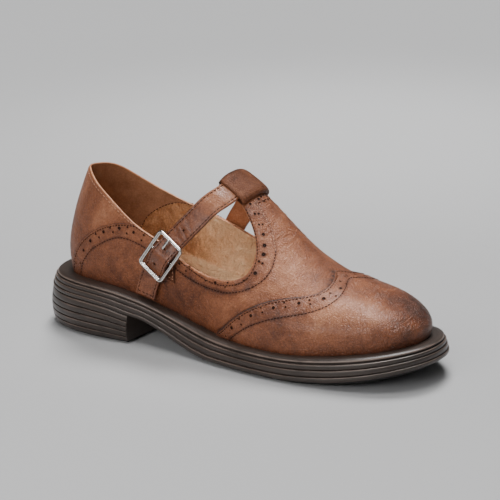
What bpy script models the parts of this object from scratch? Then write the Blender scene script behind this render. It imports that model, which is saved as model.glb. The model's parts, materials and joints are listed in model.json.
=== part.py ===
"""Mary jane shoe for the right foot, with a T bar, a side buckle, a winged toe cap and a low block heel.

Metres. +X points to the toe, +Y to the inner side of the foot, +Z up. The origin is on the ground below the
middle of the shoe. Places on the shoe are given on its last, the foot-shaped form that the upper follows:
s runs from 0 at the back of the heel to 1 at the tip of the toe, and q from 0 at the middle of the instep to
1 at the feather line, where upper and sole meet. q is negative on the outer side.
"""
import math

import bmesh
import bpy
import numpy as np

# Driving sizes
LAST_LENGTH = 0.250       # along the feather line
BALL_HALF = 0.042         # half of the ball's width at the feather line
INSTEP_HEIGHT = 0.102     # the last's full height above the feather line
HEEL_SEAT = 0.035         # feather line above the ground at the heel
PLATFORM = 0.0155         # the same at the ball
TOE_SPRING = 0.0095       # lift of the tread at the tip of the toe
SHANK = 0.0115            # thickness of the sole over the heel block and the waist
LIP = 0.0073              # reach of the sole's lip beyond the upper
RIB = 0.0032              # reach of the lowest rib beyond the lip
TREAD = 0.0015            # thickness of the tread layers under the heel and the ball
TREAD_INSET = 0.0035      # their edge, in from the edge above
TREAD_TURNS = (0.500, 0.955)   # the forefoot layer's ends, as shares of the turn round the outline
TOP_PIECE_TURN = 0.045    # the heel layer's back end, the same way
TOP_PIECE_INSET = 0.010   # its front edge behind the heel's front, as a share of the length
HEEL_BREAST = 0.262       # front of the heel block, as a share of the length
WALL = 0.0022             # upper: leather and lining
PANEL = 0.0007            # the front panel stands this much above the heel counter
CAP = 0.0008              # thickness of the winged toe cap
INSOLE = 0.0025
INSOLE_EASE = 0.0014      # from the insole's edge to the wall at the toe
STRAP_WIDTH = 0.0146
STRAP = 0.0020            # thickness
KEEPER = 0.0015           # thickness of the loop's under layer
KEEPER_CROWN = 0.0042     # top of the loop above the last
BUCKLE_LENGTH = 0.0280
BUCKLE_WIDTH = 0.0212
BUCKLE_BAR = 0.0024
BUCKLE_DEPTH = 0.0020
CENTRE_BAR = 0.0014       # diameter
PRONG = 0.0017            # diameter
TAB = 0.0006              # leather tab under the buckle
GAP = 0.0003              # clearance between neighbours
BED_GAP = 0.0006          # from the sole's top up to the upper's lower edge
CAP_GAP = 0.0009          # under the toe cap
MIDLINE = 0.0013          # the last's midline lies this far to the inner side, so that the origin is mid-shoe

# Mesh fineness
STATIONS = 84             # around the sole
UPPER_ROWS = 9            # from the feather line to the mouth
TREAD_STATIONS = 30
TOP_PIECE_STATIONS = 16
TREAD_ACROSS = 5
TAB_STATIONS = 5
RODS = 8                  # sides of the centre bar and the prong
TOE_CROWD = 0.80          # from here to the toe the rows crowd towards the feather line

# The last, in shares. centre, half, offset and bulge are shares of BALL_HALF, rise of the heel's rise above
# the platform, spring of TOE_SPRING and ridge of INSTEP_HEIGHT. side and top set how full the section is.
LAST_COLUMNS = ("at", "centre", "half", "rise", "spring", "ridge", "offset", "bulge", "side", "top")
LAST = (
    (0.00, -0.11, 0.830, 1.000, 0.00, 0.840, -0.10, 0.14, 0.50, 0.55),
    (0.12, -0.11, 0.800, 0.990, 0.00, 0.920, -0.10, 0.16, 0.56, 0.55),
    (0.25, -0.10, 0.740, 0.820, 0.00, 0.970, -0.06, 0.18, 0.62, 0.56),
    (0.40, -0.11, 0.720, 0.375, 0.00, 0.920, 0.02, 0.19, 0.56, 0.52),
    (0.52, -0.12, 0.810, 0.077, 0.00, 0.800, 0.06, 0.18, 0.52, 0.49),
    (0.63, -0.08, 0.930, 0.000, 0.00, 0.585, 0.07, 0.16, 0.53, 0.45),
    (0.74, -0.03, 0.995, 0.000, 0.05, 0.402, 0.06, 0.14, 0.66, 0.50),
    (0.85, 0.01, 0.995, 0.000, 0.35, 0.338, 0.04, 0.10, 0.76, 0.60),
    (1.00, 0.02, 0.960, 0.000, 0.95, 0.270, 0.02, 0.05, 0.80, 0.66),
)
HEEL_ROUND = 15.5         # larger is squarer in plan
TOE_ROUND = 10.0
RIDGE_ROUND = 11.0
# How far the back of the heel stands forward: height above the feather line as a share of INSTEP_HEIGHT, and
# the distance as a share of LAST_LENGTH
LEAN_COLUMNS = ("at", "lean")
LEAN = (
    (-0.05, 0.0020),
    (0.00, 0.0000),
    (0.12, -0.0050),
    (0.25, 0.0010),
    (0.44, 0.0210),
    (0.64, 0.0460),
    (1.08, 0.0990),
)
LEAN_REACH = 0.35         # share of the length over which it fades
CREST_DROP = 0.0032       # the last's crest falls by this under the loop
CREST_FROM = 0.535        # s where the fall begins
CREST_OVER = 0.060        # share of the length over which it grows
CREST_TOP = 0.70          # it acts above this share of the section
TOE_PUFF = 0.0020         # the toe's front bulges over the feather line
TOE_PUFF_HEIGHT = 0.022
TOE_PUFF_FROM = 0.75

# Underside of the sole: drop is a share of the height under the shank at the heel, spring of TOE_SPRING
UNDER_COLUMNS = ("at", "drop", "spring")
UNDER = (
    (0.00, 1.000, 0.00),
    (0.12, 0.990, 0.00),
    (0.19, 0.930, 0.00),
    (0.26, 0.780, 0.00),
    (0.30, 0.720, 0.00),
    (0.34, 0.585, 0.00),
    (0.38, 0.410, 0.00),
    (0.43, 0.195, 0.00),
    (0.47, 0.070, 0.00),
    (0.52, 0.000, 0.00),
    (0.72, 0.000, 0.00),
    (0.83, 0.000, 0.18),
    (0.92, 0.000, 0.55),
    (1.00, 0.000, 1.00),
)
# The lip's reach along the shoe, as a share of LIP
LIP_COLUMNS = ("at", "reach")
LIP_REACH = ((0.00, 1.16), (0.25, 1.08), (0.50, 1.00), (0.80, 1.00), (1.00, 1.12))
# Side of the sole from the lip down: drop is a share of the side's height, lip of the lip's reach, rib of RIB
SIDE = (
    (0.000, 0.45, 0.00),
    (0.025, 0.72, 0.00),
    (0.085, 0.94, 0.00),
    (0.150, 1.00, 0.00),
    (0.205, 0.98, 0.00),
    (0.225, 0.92, 0.00),
    (0.245, 1.00, 0.25),
    (0.455, 1.00, 0.40),
    (0.475, 0.96, 0.40),
    (0.495, 1.00, 0.65),
    (0.735, 1.00, 0.80),
    (0.755, 0.96, 0.80),
    (0.775, 1.00, 1.00),
    (0.950, 1.00, 0.95),
    (1.000, 1.00, 0.60),
)
# The heel block's barrel, and its ribs: reach is a share of RIB beyond the lip
BARREL_COLUMNS = ("at", "reach")
BARREL = ((0.00, 1.00), (0.35, 1.32), (0.60, 1.30), (0.85, 1.05), (1.00, 0.70))
HEEL_RIBS = 5
GROOVE = 0.00045          # depth of the grooves between them
GROOVE_SIDE = 0.06        # half of a groove's width, as a share of a rib

# The mouth of the upper from the back seam forward: s and q on the last, foot is the s where the same column
# of the pattern stands on the feather line, and bow is how much the column follows the counter's arch
MOUTH_OUTER = (
    (0.000, 0.430, 0.000, 0.00),
    (0.030, 0.437, 0.008, 0.45),
    (0.096, 0.532, 0.020, 0.75),
    (0.170, 0.637, 0.034, 0.92),
    (0.262, 0.736, 0.050, 1.00),
    (0.330, 0.752, 0.110, 0.80),
    (0.407, 0.768, 0.240, 0.40),
    (0.475, 0.756, 0.400, 0.10),
    (0.535, 0.712, 0.540, 0.00),
    (0.583, 0.611, 0.650, 0.00),
    (0.594, 0.500, 0.740, 0.00),
    (0.581, 0.377, 0.840, 0.00),
    (0.551, 0.294, 0.925, 0.00),
    (0.522, 0.251, 0.970, 0.00),
)
MOUTH_INNER = (
    (0.000, 0.430, 0.000, 0.00),
    (0.025, 0.478, 0.008, 0.45),
    (0.075, 0.575, 0.020, 0.75),
    (0.154, 0.682, 0.034, 0.92),
    (0.262, 0.738, 0.050, 1.00),
    (0.330, 0.728, 0.110, 0.80),
    (0.395, 0.712, 0.240, 0.40),
    (0.460, 0.708, 0.400, 0.10),
    (0.525, 0.678, 0.540, 0.00),
    (0.573, 0.590, 0.650, 0.00),
    (0.587, 0.490, 0.740, 0.00),
    (0.577, 0.385, 0.840, 0.00),
    (0.550, 0.300, 0.925, 0.00),
    (0.522, 0.251, 0.970, 0.00),
)
ARCH_ROW = 4              # the row where the front panel's arched edge leaves the mouth
ARCH_PULL = (-0.080, -0.095)   # how far that edge's control point lies off its chord, in root s and q
BAR_END = 0.535           # s of the middle of the T bar's end
BAR_HALF = 0.0145         # half the length of that end
# Columns of the pattern in each stretch between the rows of the mouth
COLUMNS_PER_STRETCH = (2, 2, 2, 2, 2, 3, 3, 3, 3, 3, 3, 3, 3)
COLUMNS_AT_BAR_END = 4
STEP_WIDTH = 0.0012       # width of the step at the panel's edge, as a share of the pattern

# Edge of the winged toe cap from its wing tip to its middle peak, s and q
WING = (
    (0.522, 0.985),
    (0.545, 0.939),
    (0.599, 0.804),
    (0.659, 0.657),
    (0.721, 0.512),
    (0.763, 0.375),
    (0.772, 0.260),
    (0.765, 0.130),
    (0.748, 0.000),
)
WING_FOOT = 0.518         # the wing tip's s on the feather line
WING_COLUMNS = 24
WING_ROWS = 6
CAP_BLEND = (0.70, 0.86)  # between these the upper sinks so that the cap keeps the last's outline

# The strap's middle line from its outer tip over the instep: s, q and the gap below it in shares of STRAP
STRAP_LINE = (
    (0.301, -0.983, 1.15),
    (0.3065, -0.950, 0.75),
    (0.3145, -0.912, 0.50),
    (0.3235, -0.879, 0.50),
    (0.337, -0.839, 1.15),
    (0.353, -0.790, 2.45),
    (0.368, -0.738, 1.05),
    (0.3825, -0.690, 0.35),
    (0.400, -0.633, 0.30),
    (0.428, -0.527, 0.20),
    (0.456, -0.390, 0.10),
    (0.480, -0.250, 0.00),
    (0.485, -0.120, 0.00),
    (0.487, 0.000, 0.00),
    (0.485, 0.120, 0.00),
    (0.480, 0.250, 0.00),
    (0.453, 0.420, 0.10),
    (0.422, 0.590, 0.20),
    (0.396, 0.690, 0.30),
    (0.372, 0.790, 0.25),
    (0.350, 0.880, 0.20),
)
STRAP_STATIONS = 52
CROWN = 1.06              # the strap's middle is this much fuller than its edges
# Across the strap: place as a share of the half width, height as a share of the thickness
STRAP_SECTION = (
    (-1.00, 0.25), (-0.94, 0.00), (0.00, 0.00), (0.94, 0.00), (1.00, 0.25),
    (1.00, 0.75), (0.94, 1.00), (0.00, CROWN), (-0.94, 1.00), (-1.00, 0.75),
)

# The loop at the end of the T bar: s of its two edges at the sides and in the middle, and its q
KEEPER_BACK = (0.449, 0.452)
KEEPER_FRONT = (0.5205, 0.5335)
KEEPER_SIDE = 0.247
KEEPER_STATIONS = 12
# Its outline from the lower back corner round: share from back to front, and height as a share of
# KEEPER_CROWN
KEEPER_TOP = (
    (0.00, -0.10), (0.00, 0.45), (0.05, 0.78), (0.16, 0.96), (0.50, 1.00),
    (0.84, 0.93), (0.95, 0.70), (1.00, 0.35), (1.00, -0.10),
)
KEEPER_EDGE = 0.03        # the under layer's edges stand in by this share
# The hole that the strap passes through, in the same order as the outline
KEEPER_HOLE = (
    (0.04, "floor"), (0.04, "middle"), (0.07, "roof"), (0.30, "roof"), (0.50, "roof"), (0.70, "roof"),
    (0.93, "roof"), (0.96, "middle"), (0.96, "floor"), (0.70, "floor"), (0.50, "floor"), (0.30, "floor"),
)

BUCKLE_AT = (0.352, -0.790)
BUCKLE_CORNER = 0.0034    # outer corner radius
BUCKLE_INNER_CORNER = 0.0010
BUCKLE_SOFT = 0.22        # width of the bars' bevels, as a share of a bar
BUCKLE_SPAN = 0.06        # the frame lies along the chord between these shares of the strap, each side of it
BUCKLE_RISE = 0.0039      # underside of the frame above the last
# The prong from the centre bar to the upper bar: share of half the frame, height in shares of PRONG, and size
PRONG_LINE = ((0.36, 0.35, 1.00), (0.52, 0.20, 1.00), (0.72, 0.05, 0.95), (0.93, 0.00, 0.70))
TAB_SPAN = ((0.335, 0.385), (-0.785, -0.880))   # s and q

FLAT = 1e-6
HALF_TURN = math.pi


def curve(table, names):
    """Natural cubic curves through a table's columns, as functions of its first one, and straight beyond it."""
    rows = np.array(table, float)
    at = rows[:, 0]
    step = np.diff(at)
    count = len(at)
    system = np.eye(count)
    for i in range(1, count - 1):
        system[i, i - 1] = step[i - 1]
        system[i, i] = 2.0 * (step[i - 1] + step[i])
        system[i, i + 1] = step[i]

    def column(value):
        slope = np.diff(value) / step
        right = np.zeros(count)
        right[1:-1] = 6.0 * np.diff(slope)
        bend = np.linalg.solve(system, right)

        def read(t):
            asked = np.asarray(t, float)
            t = np.clip(asked, at[0], at[-1])
            i = np.clip(np.searchsorted(at, t) - 1, 0, count - 2)
            d = t - at[i]
            first = slope[i] - step[i] * (2.0 * bend[i] + bend[i + 1]) / 6.0
            third = (bend[i + 1] - bend[i]) / (6.0 * step[i])
            inside = value[i] + first * d + bend[i] * d**2 / 2.0 + third * d**3
            last_slope = slope[-1] + step[-1] * bend[-2] / 6.0
            slope_out = np.where(asked > at[-1], last_slope, slope[0] - step[0] * bend[1] / 6.0)
            return inside + slope_out * (asked - t)

        return read

    return {name: column(rows[:, k]) for k, name in enumerate(names) if k}


def steady(table, names):
    """Curves that never overshoot their rows, so that a level stretch stays level, and run on straight."""
    rows = np.array(table, float)
    at = rows[:, 0]
    step = np.diff(at)

    def column(value):
        slope = np.diff(value) / step
        tangent = np.zeros(len(at))
        for i in range(1, len(at) - 1):
            if slope[i - 1] * slope[i] > 0.0:
                tangent[i] = 2.0 * slope[i - 1] * slope[i] / (slope[i - 1] + slope[i])
        tangent[0] = slope[0]
        tangent[-1] = slope[-1]

        def read(t):
            asked = np.asarray(t, float)
            t = np.clip(asked, at[0], at[-1])
            i = np.clip(np.searchsorted(at, t) - 1, 0, len(at) - 2)
            u = (t - at[i]) / step[i]
            start = (2 * u**3 - 3 * u**2 + 1) * value[i] + (u**3 - 2 * u**2 + u) * step[i] * tangent[i]
            end = (3 * u**2 - 2 * u**3) * value[i + 1] + (u**3 - u**2) * step[i] * tangent[i + 1]
            slope_out = np.where(asked > at[-1], tangent[-1], tangent[0])
            return start + end + slope_out * (asked - t)

        return read

    return {name: column(rows[:, k]) for k, name in enumerate(names) if k}


def ease(t):
    t = np.clip(t, 0.0, 1.0)
    return t * t * (3.0 - 2.0 * t)


FORM = curve(LAST, LAST_COLUMNS)
BACK = curve(LEAN, LEAN_COLUMNS)
BELOW = steady(UNDER, UNDER_COLUMNS)
REACH = curve(LIP_REACH, LIP_COLUMNS)
SWELL = curve(BARREL, BARREL_COLUMNS)


def feather(s):
    """Height of the feather line."""
    return PLATFORM + (HEEL_SEAT - PLATFORM) * FORM["rise"](s) + TOE_SPRING * FORM["spring"](s)


def underside(s):
    """Height of the moulded sole's underside, above the tread layers."""
    base = TREAD + GAP
    return base + (HEEL_SEAT - SHANK - base) * BELOW["drop"](s) + TOE_SPRING * BELOW["spring"](s)


def toe_end(s):
    return np.sqrt(np.clip(1.0 - s**TOE_ROUND, 0.0, None))


def heel_end(s):
    return np.sqrt(np.clip(1.0 - (1.0 - s) ** HEEL_ROUND, 0.0, None))


def last_point(s, q):
    """Points on the last."""
    s, q = np.broadcast_arrays(np.asarray(s, float), np.asarray(q, float))
    side = np.where(q < 0.0, -1.0, 1.0)
    g = 1.0 - np.abs(q) / np.maximum(toe_end(s), FLAT)
    g = np.minimum(g, 1.0)
    half = FORM["half"](s) * BALL_HALF
    height = FORM["ridge"](s) * INSTEP_HEIGHT * np.sqrt(np.clip(1.0 - s**RIDGE_ROUND, 0.0, None))
    fuller = half + FORM["bulge"](s) * BALL_HALF
    rest = 1.0 - g
    across = rest**3 * half + 3 * rest**2 * g * fuller + 3 * rest * g**2 * FORM["top"](s) * half
    up = 3 * rest**2 * g * FORM["side"](s) * height + (3 * rest * g**2 + g**3) * height
    up = up - CREST_DROP * ease((CREST_FROM - s) / CREST_OVER) * ease((g - CREST_TOP) / (1.0 - CREST_TOP))
    centre = FORM["centre"](s)
    middle = MIDLINE + BALL_HALF * (centre + (FORM["offset"](s) - centre) * ease(g))
    lean = LAST_LENGTH * BACK["lean"](up / INSTEP_HEIGHT) * np.clip(1.0 - s / LEAN_REACH, 0.0, 1.0) ** 2
    puff = np.sin(np.clip(up / TOE_PUFF_HEIGHT, 0.0, 1.0) * HALF_TURN)
    puff = puff * np.clip((s - TOE_PUFF_FROM) / (1.0 - TOE_PUFF_FROM), 0.0, 1.0) ** 2
    x = (s - 0.5) * LAST_LENGTH + lean + TOE_PUFF * puff
    y = middle + side * across * heel_end(s) * toe_end(s)
    return np.stack([x, y, feather(s) + up], axis=-1)


def lifted(surface, u, v, lift, step=1e-4):
    """Points of a surface given by two numbers, moved out along its normal."""
    u, v = np.broadcast_arrays(np.asarray(u, float), np.asarray(v, float))
    along_u = surface(u + step, v) - surface(u - step, v)
    along_v = surface(u, v + step) - surface(u, v - step)
    normal = np.cross(along_u, along_v)
    normal /= np.linalg.norm(normal, axis=-1, keepdims=True)
    return surface(u, v) + normal * np.asarray(lift)[..., None]


def over_last(s, q, lift):
    """Points over the last at a height above it; s and q away from the heel seam and the toe."""
    return lifted(last_point, s, q, lift)


# Meshes


def make_object(name, points, faces, colour, roughness, metallic=0.0):
    material = bpy.data.materials.new(name)
    material.use_nodes = True
    shader = material.node_tree.nodes["Principled BSDF"]
    shader.inputs["Base Color"].default_value = (*colour, 1.0)
    shader.inputs["Roughness"].default_value = roughness
    shader.inputs["Metallic"].default_value = metallic
    mesh = bpy.data.meshes.new(name)
    mesh.from_pydata([tuple(map(float, p)) for p in points], [], [tuple(map(int, f)) for f in faces])
    work = bmesh.new()
    work.from_mesh(mesh)
    bmesh.ops.remove_doubles(work, verts=work.verts, dist=1e-6)
    bmesh.ops.recalc_face_normals(work, faces=work.faces)
    work.to_mesh(mesh)
    work.free()
    mesh.materials.append(material)
    mesh.shade_smooth()
    mesh.set_sharp_from_angle(angle=math.radians(35))
    made = bpy.data.objects.new(name, mesh)
    bpy.context.scene.collection.objects.link(made)
    return made


def grid_faces(rows, columns, closed_rows=False, closed_columns=False):
    """Quads over a grid of points stored row by row."""
    faces = []
    for i in range(rows if closed_rows else rows - 1):
        for j in range(columns if closed_columns else columns - 1):
            a = i * columns + j
            b = i * columns + (j + 1) % columns
            c = (i + 1) % rows * columns + (j + 1) % columns
            d = (i + 1) % rows * columns + j
            faces.append((a, b, c, d))
    return faces


def across_faces(first, count):
    """Closes a ring of points whose first lies at the toe: each outer point is joined with its inner one."""
    half = count // 2
    faces = [(first, first + 1, first + count - 1)]
    for j in range(1, half - 1):
        faces.append((first + j, first + j + 1, first + count - j - 1, first + count - j))
    faces.append((first + half - 1, first + half, first + half + 1))
    return faces


def slab(outer, inner):
    """A solid between two grids of the same shape, closed round their edges."""
    rows, columns = outer.shape[:2]
    count = rows * columns
    points = np.concatenate([outer.reshape(-1, 3), inner.reshape(-1, 3)])
    faces = grid_faces(rows, columns)
    faces += [tuple(k + count for k in reversed(f)) for f in grid_faces(rows, columns)]
    rim = [j for j in range(columns)]
    rim += [i * columns + columns - 1 for i in range(1, rows)]
    rim += [(rows - 1) * columns + j for j in range(columns - 2, -1, -1)]
    rim += [i * columns for i in range(rows - 2, 0, -1)]
    for a, b in zip(rim, rim[1:] + rim[:1]):
        faces.append((b, a, a + count, b + count))
    return points, faces


# The sole


def station_angles(count):
    """Angles round the feather line as shares of a half turn, from the toe by the inner side to the heel."""
    return -1.0 + 2.0 * np.arange(count) / count


def along(angle):
    return (1.0 - np.cos(HALF_TURN * angle)) / 2.0


def turn_at(s):
    """The inverse of along, for one s."""
    return math.acos(1.0 - 2.0 * s) / HALF_TURN


def outline(angle, out):
    """Plan points of the feather line moved outwards. A negative angle is on the inner side."""

    def plan(a):
        s = along(a)
        side = np.sin(HALF_TURN * a)
        side = np.where(side > 0.0, -1.0, 1.0)
        y = MIDLINE + BALL_HALF * (FORM["centre"](s) + side * FORM["half"](s) * heel_end(s) * toe_end(s))
        return np.stack([(s - 0.5) * LAST_LENGTH, y], axis=-1)

    step = 1e-4
    tangent = plan(angle + step) - plan(angle - step)
    tangent /= np.linalg.norm(tangent, axis=-1, keepdims=True)
    normal = np.stack([tangent[..., 1], -tangent[..., 0]], axis=-1)
    return plan(angle) + normal * np.asarray(out)[..., None]


def lip_reach(s):
    return LIP * REACH["reach"](s)


def share_at(x):
    return x / LAST_LENGTH + 0.5


def sole_row(angle, out, level):
    """A row of points round the sole, at a share of the way from the sole's top down to its underside."""
    flat = outline(angle, out)
    s = share_at(flat[:, 0])
    top = feather(s) - BED_GAP
    height = top + (underside(s) - top) * level
    return np.concatenate([flat, height[:, None]], axis=1)


def make_outsole():
    angle = station_angles(STATIONS)
    reach = lip_reach(along(angle))
    rows = [sole_row(angle, reach * lip + RIB * rib, drop) for drop, lip, rib in SIDE]
    points = np.concatenate(rows)
    faces = grid_faces(len(rows), STATIONS, closed_columns=True)
    faces += across_faces(0, STATIONS)
    faces += across_faces((len(rows) - 1) * STATIONS, STATIONS)
    make_object("outsole", points, faces, (0.060, 0.047, 0.042), 0.45)


def make_heel():
    count = STATIONS // 2 + 1
    reach = turn_at(HEEL_BREAST)
    angle = np.linspace(-reach, reach, count)
    lip = lip_reach(along(angle))
    low = TREAD + GAP
    levels = []
    for rib in range(HEEL_RIBS):
        start = rib / HEEL_RIBS
        wide = 1.0 / HEEL_RIBS
        levels += [(start + wide * share, 0.0) for share in (GROOVE_SIDE, 0.5, 1.0 - GROOVE_SIDE)]
        levels += [(start + wide, 1.0)]
    levels = [(0.0, 0.0)] + levels[1:-1] + [(1.0, 0.0)]
    rows = []
    for level, groove in levels:
        flat = outline(angle, lip + RIB * SWELL["reach"](level) - GROOVE * groove)
        top = underside(share_at(flat[:, 0])) - GAP
        rows.append(np.concatenate([flat, (top + (low - top) * level)[:, None]], axis=1))
    points = np.concatenate(rows)
    faces = grid_faces(len(rows), count)
    for row in (0, len(rows) - 1):
        first = row * count
        for j in range(count // 2 - 1):
            faces.append((first + j, first + j + 1, first + count - 2 - j, first + count - 1 - j))
        middle = first + count // 2
        faces.append((middle - 1, middle, middle + 1))
    for row in range(len(rows) - 1):
        faces.append((row * count, row * count + count - 1, (row + 1) * count + count - 1, (row + 1) * count))
    make_object("heel_block", points, faces, (0.060, 0.047, 0.042), 0.45)


def tread_slab(name, angle_from, angle_to, count, base):
    """A tread layer under the sole, across from the inner to the outer side at each station."""
    angle = np.linspace(angle_from, angle_to, count)
    out = lip_reach(along(angle)) + RIB * SIDE[-1][2] - TREAD_INSET
    shares = np.linspace(0.0, 1.0, TREAD_ACROSS)
    inner_edge = outline(-angle, out)
    outer_edge = outline(angle, out)
    low = []
    high = []
    for share in shares:
        flat = inner_edge + (outer_edge - inner_edge) * share
        height = base(share_at(flat[:, 0]))[:, None]
        low.append(np.concatenate([flat, height], axis=1))
        high.append(np.concatenate([flat, height + TREAD], axis=1))
    points, faces = slab(np.stack(high), np.stack(low))
    make_object(name, points, faces, (0.018, 0.017, 0.016), 0.7)


def make_treads():
    breast = turn_at(HEEL_BREAST - TOP_PIECE_INSET)
    tread_slab("heel_top_piece", TOP_PIECE_TURN, breast, TOP_PIECE_STATIONS, lambda s: 0.0 * s)
    tread_slab("forefoot_tread", *TREAD_TURNS, TREAD_STATIONS, lambda s: underside(s) - TREAD - GAP)


def make_insole():
    angle = station_angles(STATIONS)
    flat = outline(angle, np.full(STATIONS, -(WALL + PANEL + CAP + INSOLE_EASE)))
    base = feather(share_at(flat[:, 0])) - BED_GAP + GAP
    rows = [np.concatenate([flat, (base + lift)[:, None]], axis=1) for lift in (0.0, INSOLE)]
    faces = grid_faces(2, STATIONS, closed_columns=True)
    faces += across_faces(0, STATIONS) + across_faces(STATIONS, STATIONS)
    make_object("insole", np.concatenate(rows), faces, (0.62, 0.36, 0.19), 0.6)


# The upper


def mouth_rows():
    """Rows of the mouth from the T bar's inner corner round the heel to its outer corner, root s signed."""
    inner = [(math.sqrt(s), q, foot, bow) for s, q, foot, bow in MOUTH_INNER[::-1]]
    outer = [(-math.sqrt(s), q, foot, bow) for s, q, foot, bow in MOUTH_OUTER[1:]]
    return inner + outer


def mouth_knots():
    rows = mouth_rows()
    places = [last_point(p * p, math.copysign(q, p)) for p, q, foot, bow in rows]
    steps = [float(np.linalg.norm(b - a)) for a, b in zip(places, places[1:])]
    return np.concatenate([[0.0], np.cumsum(steps)])


KNOTS = mouth_knots()
PATTERN_NAMES = ("at", "root", "q", "foot", "bow")
PATTERN = curve(
    [
        (at, p, q, math.copysign(turn_at(foot), -p), bow)
        for at, (p, q, foot, bow) in zip(KNOTS, mouth_rows())
    ],
    PATTERN_NAMES,
)
LOOP = KNOTS[-1] + 2.0 * BAR_HALF


def pattern_point(at, rise):
    """Place on the last of a column of the pattern, rise 0 at the feather line and 1 at the mouth."""
    at = np.mod(np.asarray(at, float), LOOP)
    at, rise = np.broadcast_arrays(at, np.asarray(rise, float))
    beyond = np.clip((at - KNOTS[-1]) / (LOOP - KNOTS[-1]), 0.0, 1.0)
    inside = np.minimum(at, KNOTS[-1])
    root = PATTERN["root"](inside)
    q = PATTERN["q"](inside)
    foot = PATTERN["foot"](inside)
    # across the T bar's end, from its outer corner to its inner one
    swing = 1.0 - 2.0 * beyond
    end_s = BAR_END + (root**2 - BAR_END) * swing**2
    side = np.where((at <= KNOTS[-1]) & (root > 0.0), 1.0, -1.0)
    side = np.where(beyond > 0.5, 1.0, side)
    root = np.where(beyond > 0.0, side * np.sqrt(end_s), root)
    q = np.where(beyond > 0.0, q * np.abs(swing), q)
    foot = np.where(beyond > 0.0, side * -1.0 * (1.0 - (1.0 - np.abs(foot)) * np.abs(swing)), foot)
    foot_s = along(foot)
    foot_root = side * np.sqrt(foot_s)
    foot_q = toe_end(foot_s)
    bow = PATTERN["bow"](inside)
    bow = np.where(beyond > 0.0, 0.0, np.clip(bow, 0.0, 1.0))
    pull_root = (foot_root + root) / 2.0 + side * bow * ARCH_PULL[0]
    pull_q = (foot_q + q) / 2.0 + bow * ARCH_PULL[1]
    rise = rise ** (1.0 + toe_crowding(foot_s))
    rest = 1.0 - rise
    path_root = rest**2 * foot_root + 2.0 * rest * rise * pull_root + rise**2 * root
    path_q = rest**2 * foot_q + 2.0 * rest * rise * pull_q + rise**2 * q
    return path_root**2, np.where(path_root < 0.0, -1.0, side) * path_q


def toe_crowding(foot_s):
    """Rows crowd towards the feather line round the toe, where the last stands up almost straight."""
    return ease((foot_s - TOE_CROWD) / (1.0 - TOE_CROWD))


def upper_columns():
    """Places of the pattern's columns round the loop, with a pair at each end of the panel's step."""
    count = len(MOUTH_OUTER)
    stretches = list(COLUMNS_PER_STRETCH[::-1]) + list(COLUMNS_PER_STRETCH)
    places = []
    for start, end, parts in zip(KNOTS, KNOTS[1:], stretches):
        places += [start + (end - start) * k / parts for k in range(parts)]
    step = STEP_WIDTH * LOOP
    inner_arch = KNOTS[count - 1 - ARCH_ROW]
    outer_arch = KNOTS[count - 1 + ARCH_ROW]
    kept = [at for at in places if at not in (inner_arch, outer_arch)]
    kept += [inner_arch - step, inner_arch, outer_arch, outer_arch + step]
    kept += [KNOTS[-1] + (LOOP - KNOTS[-1]) * k / COLUMNS_AT_BAR_END for k in range(COLUMNS_AT_BAR_END)]
    raised = {round(at, 9): at < inner_arch - step / 2 or at > outer_arch + step / 2 for at in kept}
    kept = sorted(kept)
    return np.array(kept), np.array([raised[round(at, 9)] for at in kept])


def sunk(s):
    """How far the upper lies under the last's outline to make room for the toe cap."""
    start, end = CAP_BLEND
    return (CAP + CAP_GAP) * ease((s - start) / (end - start))


def make_upper():
    columns, raised = upper_columns()
    rises = np.linspace(0.0, 1.0, UPPER_ROWS + 1)
    at, rise = np.meshgrid(columns, rises)
    s = pattern_point(at, rise)[0]
    level = np.where(raised[None, :], 0.0, -PANEL) - sunk(s)

    def skin(across, up):
        return last_point(*pattern_point(across, np.clip(up, 0.0, 1.0)))

    outer = lifted(skin, at, rise, level)
    inner = lifted(skin, at, rise, -WALL - sunk(s))
    rows, count = at.shape
    points = np.concatenate([outer.reshape(-1, 3), inner.reshape(-1, 3)])
    total = rows * count
    faces = grid_faces(rows, count, closed_columns=True)
    faces += [tuple(k + total for k in reversed(f)) for f in grid_faces(rows, count, closed_columns=True)]
    for row in (0, rows - 1):
        for j in range(count):
            a = row * count + j
            b = row * count + (j + 1) % count
            faces.append((b, a, a + total, b + total) if row == 0 else (a, b, b + total, a + total))
    make_object("upper", points, faces, (0.30, 0.135, 0.075), 0.42)


# The winged toe cap

WING_KNOTS = np.concatenate([[0.0], np.cumsum([
    float(np.linalg.norm(last_point(*b) - last_point(*a))) for a, b in zip(WING, WING[1:])
])])
WING_EDGE = curve([(at / WING_KNOTS[-1], s, q) for at, (s, q) in zip(WING_KNOTS, WING)], ("at", "s", "q"))


def cap_skin(place, rise):
    """place runs from -1 at the outer wing tip to 1 at the inner one, rise from the sole to its edge."""
    place, rise = np.broadcast_arrays(np.asarray(place, float), np.asarray(rise, float))
    side = np.where(place < 0.0, -1.0, 1.0)
    share = 1.0 - np.abs(place)
    tip = turn_at(WING_FOOT)
    foot_s = along(tip + (1.0 - tip) * share)
    foot_q = toe_end(foot_s)
    rise = rise ** (1.0 + toe_crowding(foot_s))
    s = foot_s + (WING_EDGE["s"](share) - foot_s) * rise
    q = foot_q + (WING_EDGE["q"](share) - foot_q) * rise
    return s, side * q


def make_cap():
    places = np.linspace(-1.0, 1.0, 2 * WING_COLUMNS + 1)
    rises = np.linspace(0.0, 1.0, WING_ROWS + 1)
    place, rise = np.meshgrid(places, rises)
    low = CAP_GAP - sunk(cap_skin(place, rise)[0])

    def skin(across, up):
        return last_point(*cap_skin(np.clip(across, -1.0, 1.0), np.clip(up, 0.0, 1.0)))

    high = lifted(skin, place, rise, low + CAP, step=1e-3)
    points, faces = slab(high, lifted(skin, place, rise, low, step=1e-3))
    make_object("toe_cap", points, faces, (0.30, 0.135, 0.075), 0.42)


# Strap, loop and buckle


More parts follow.
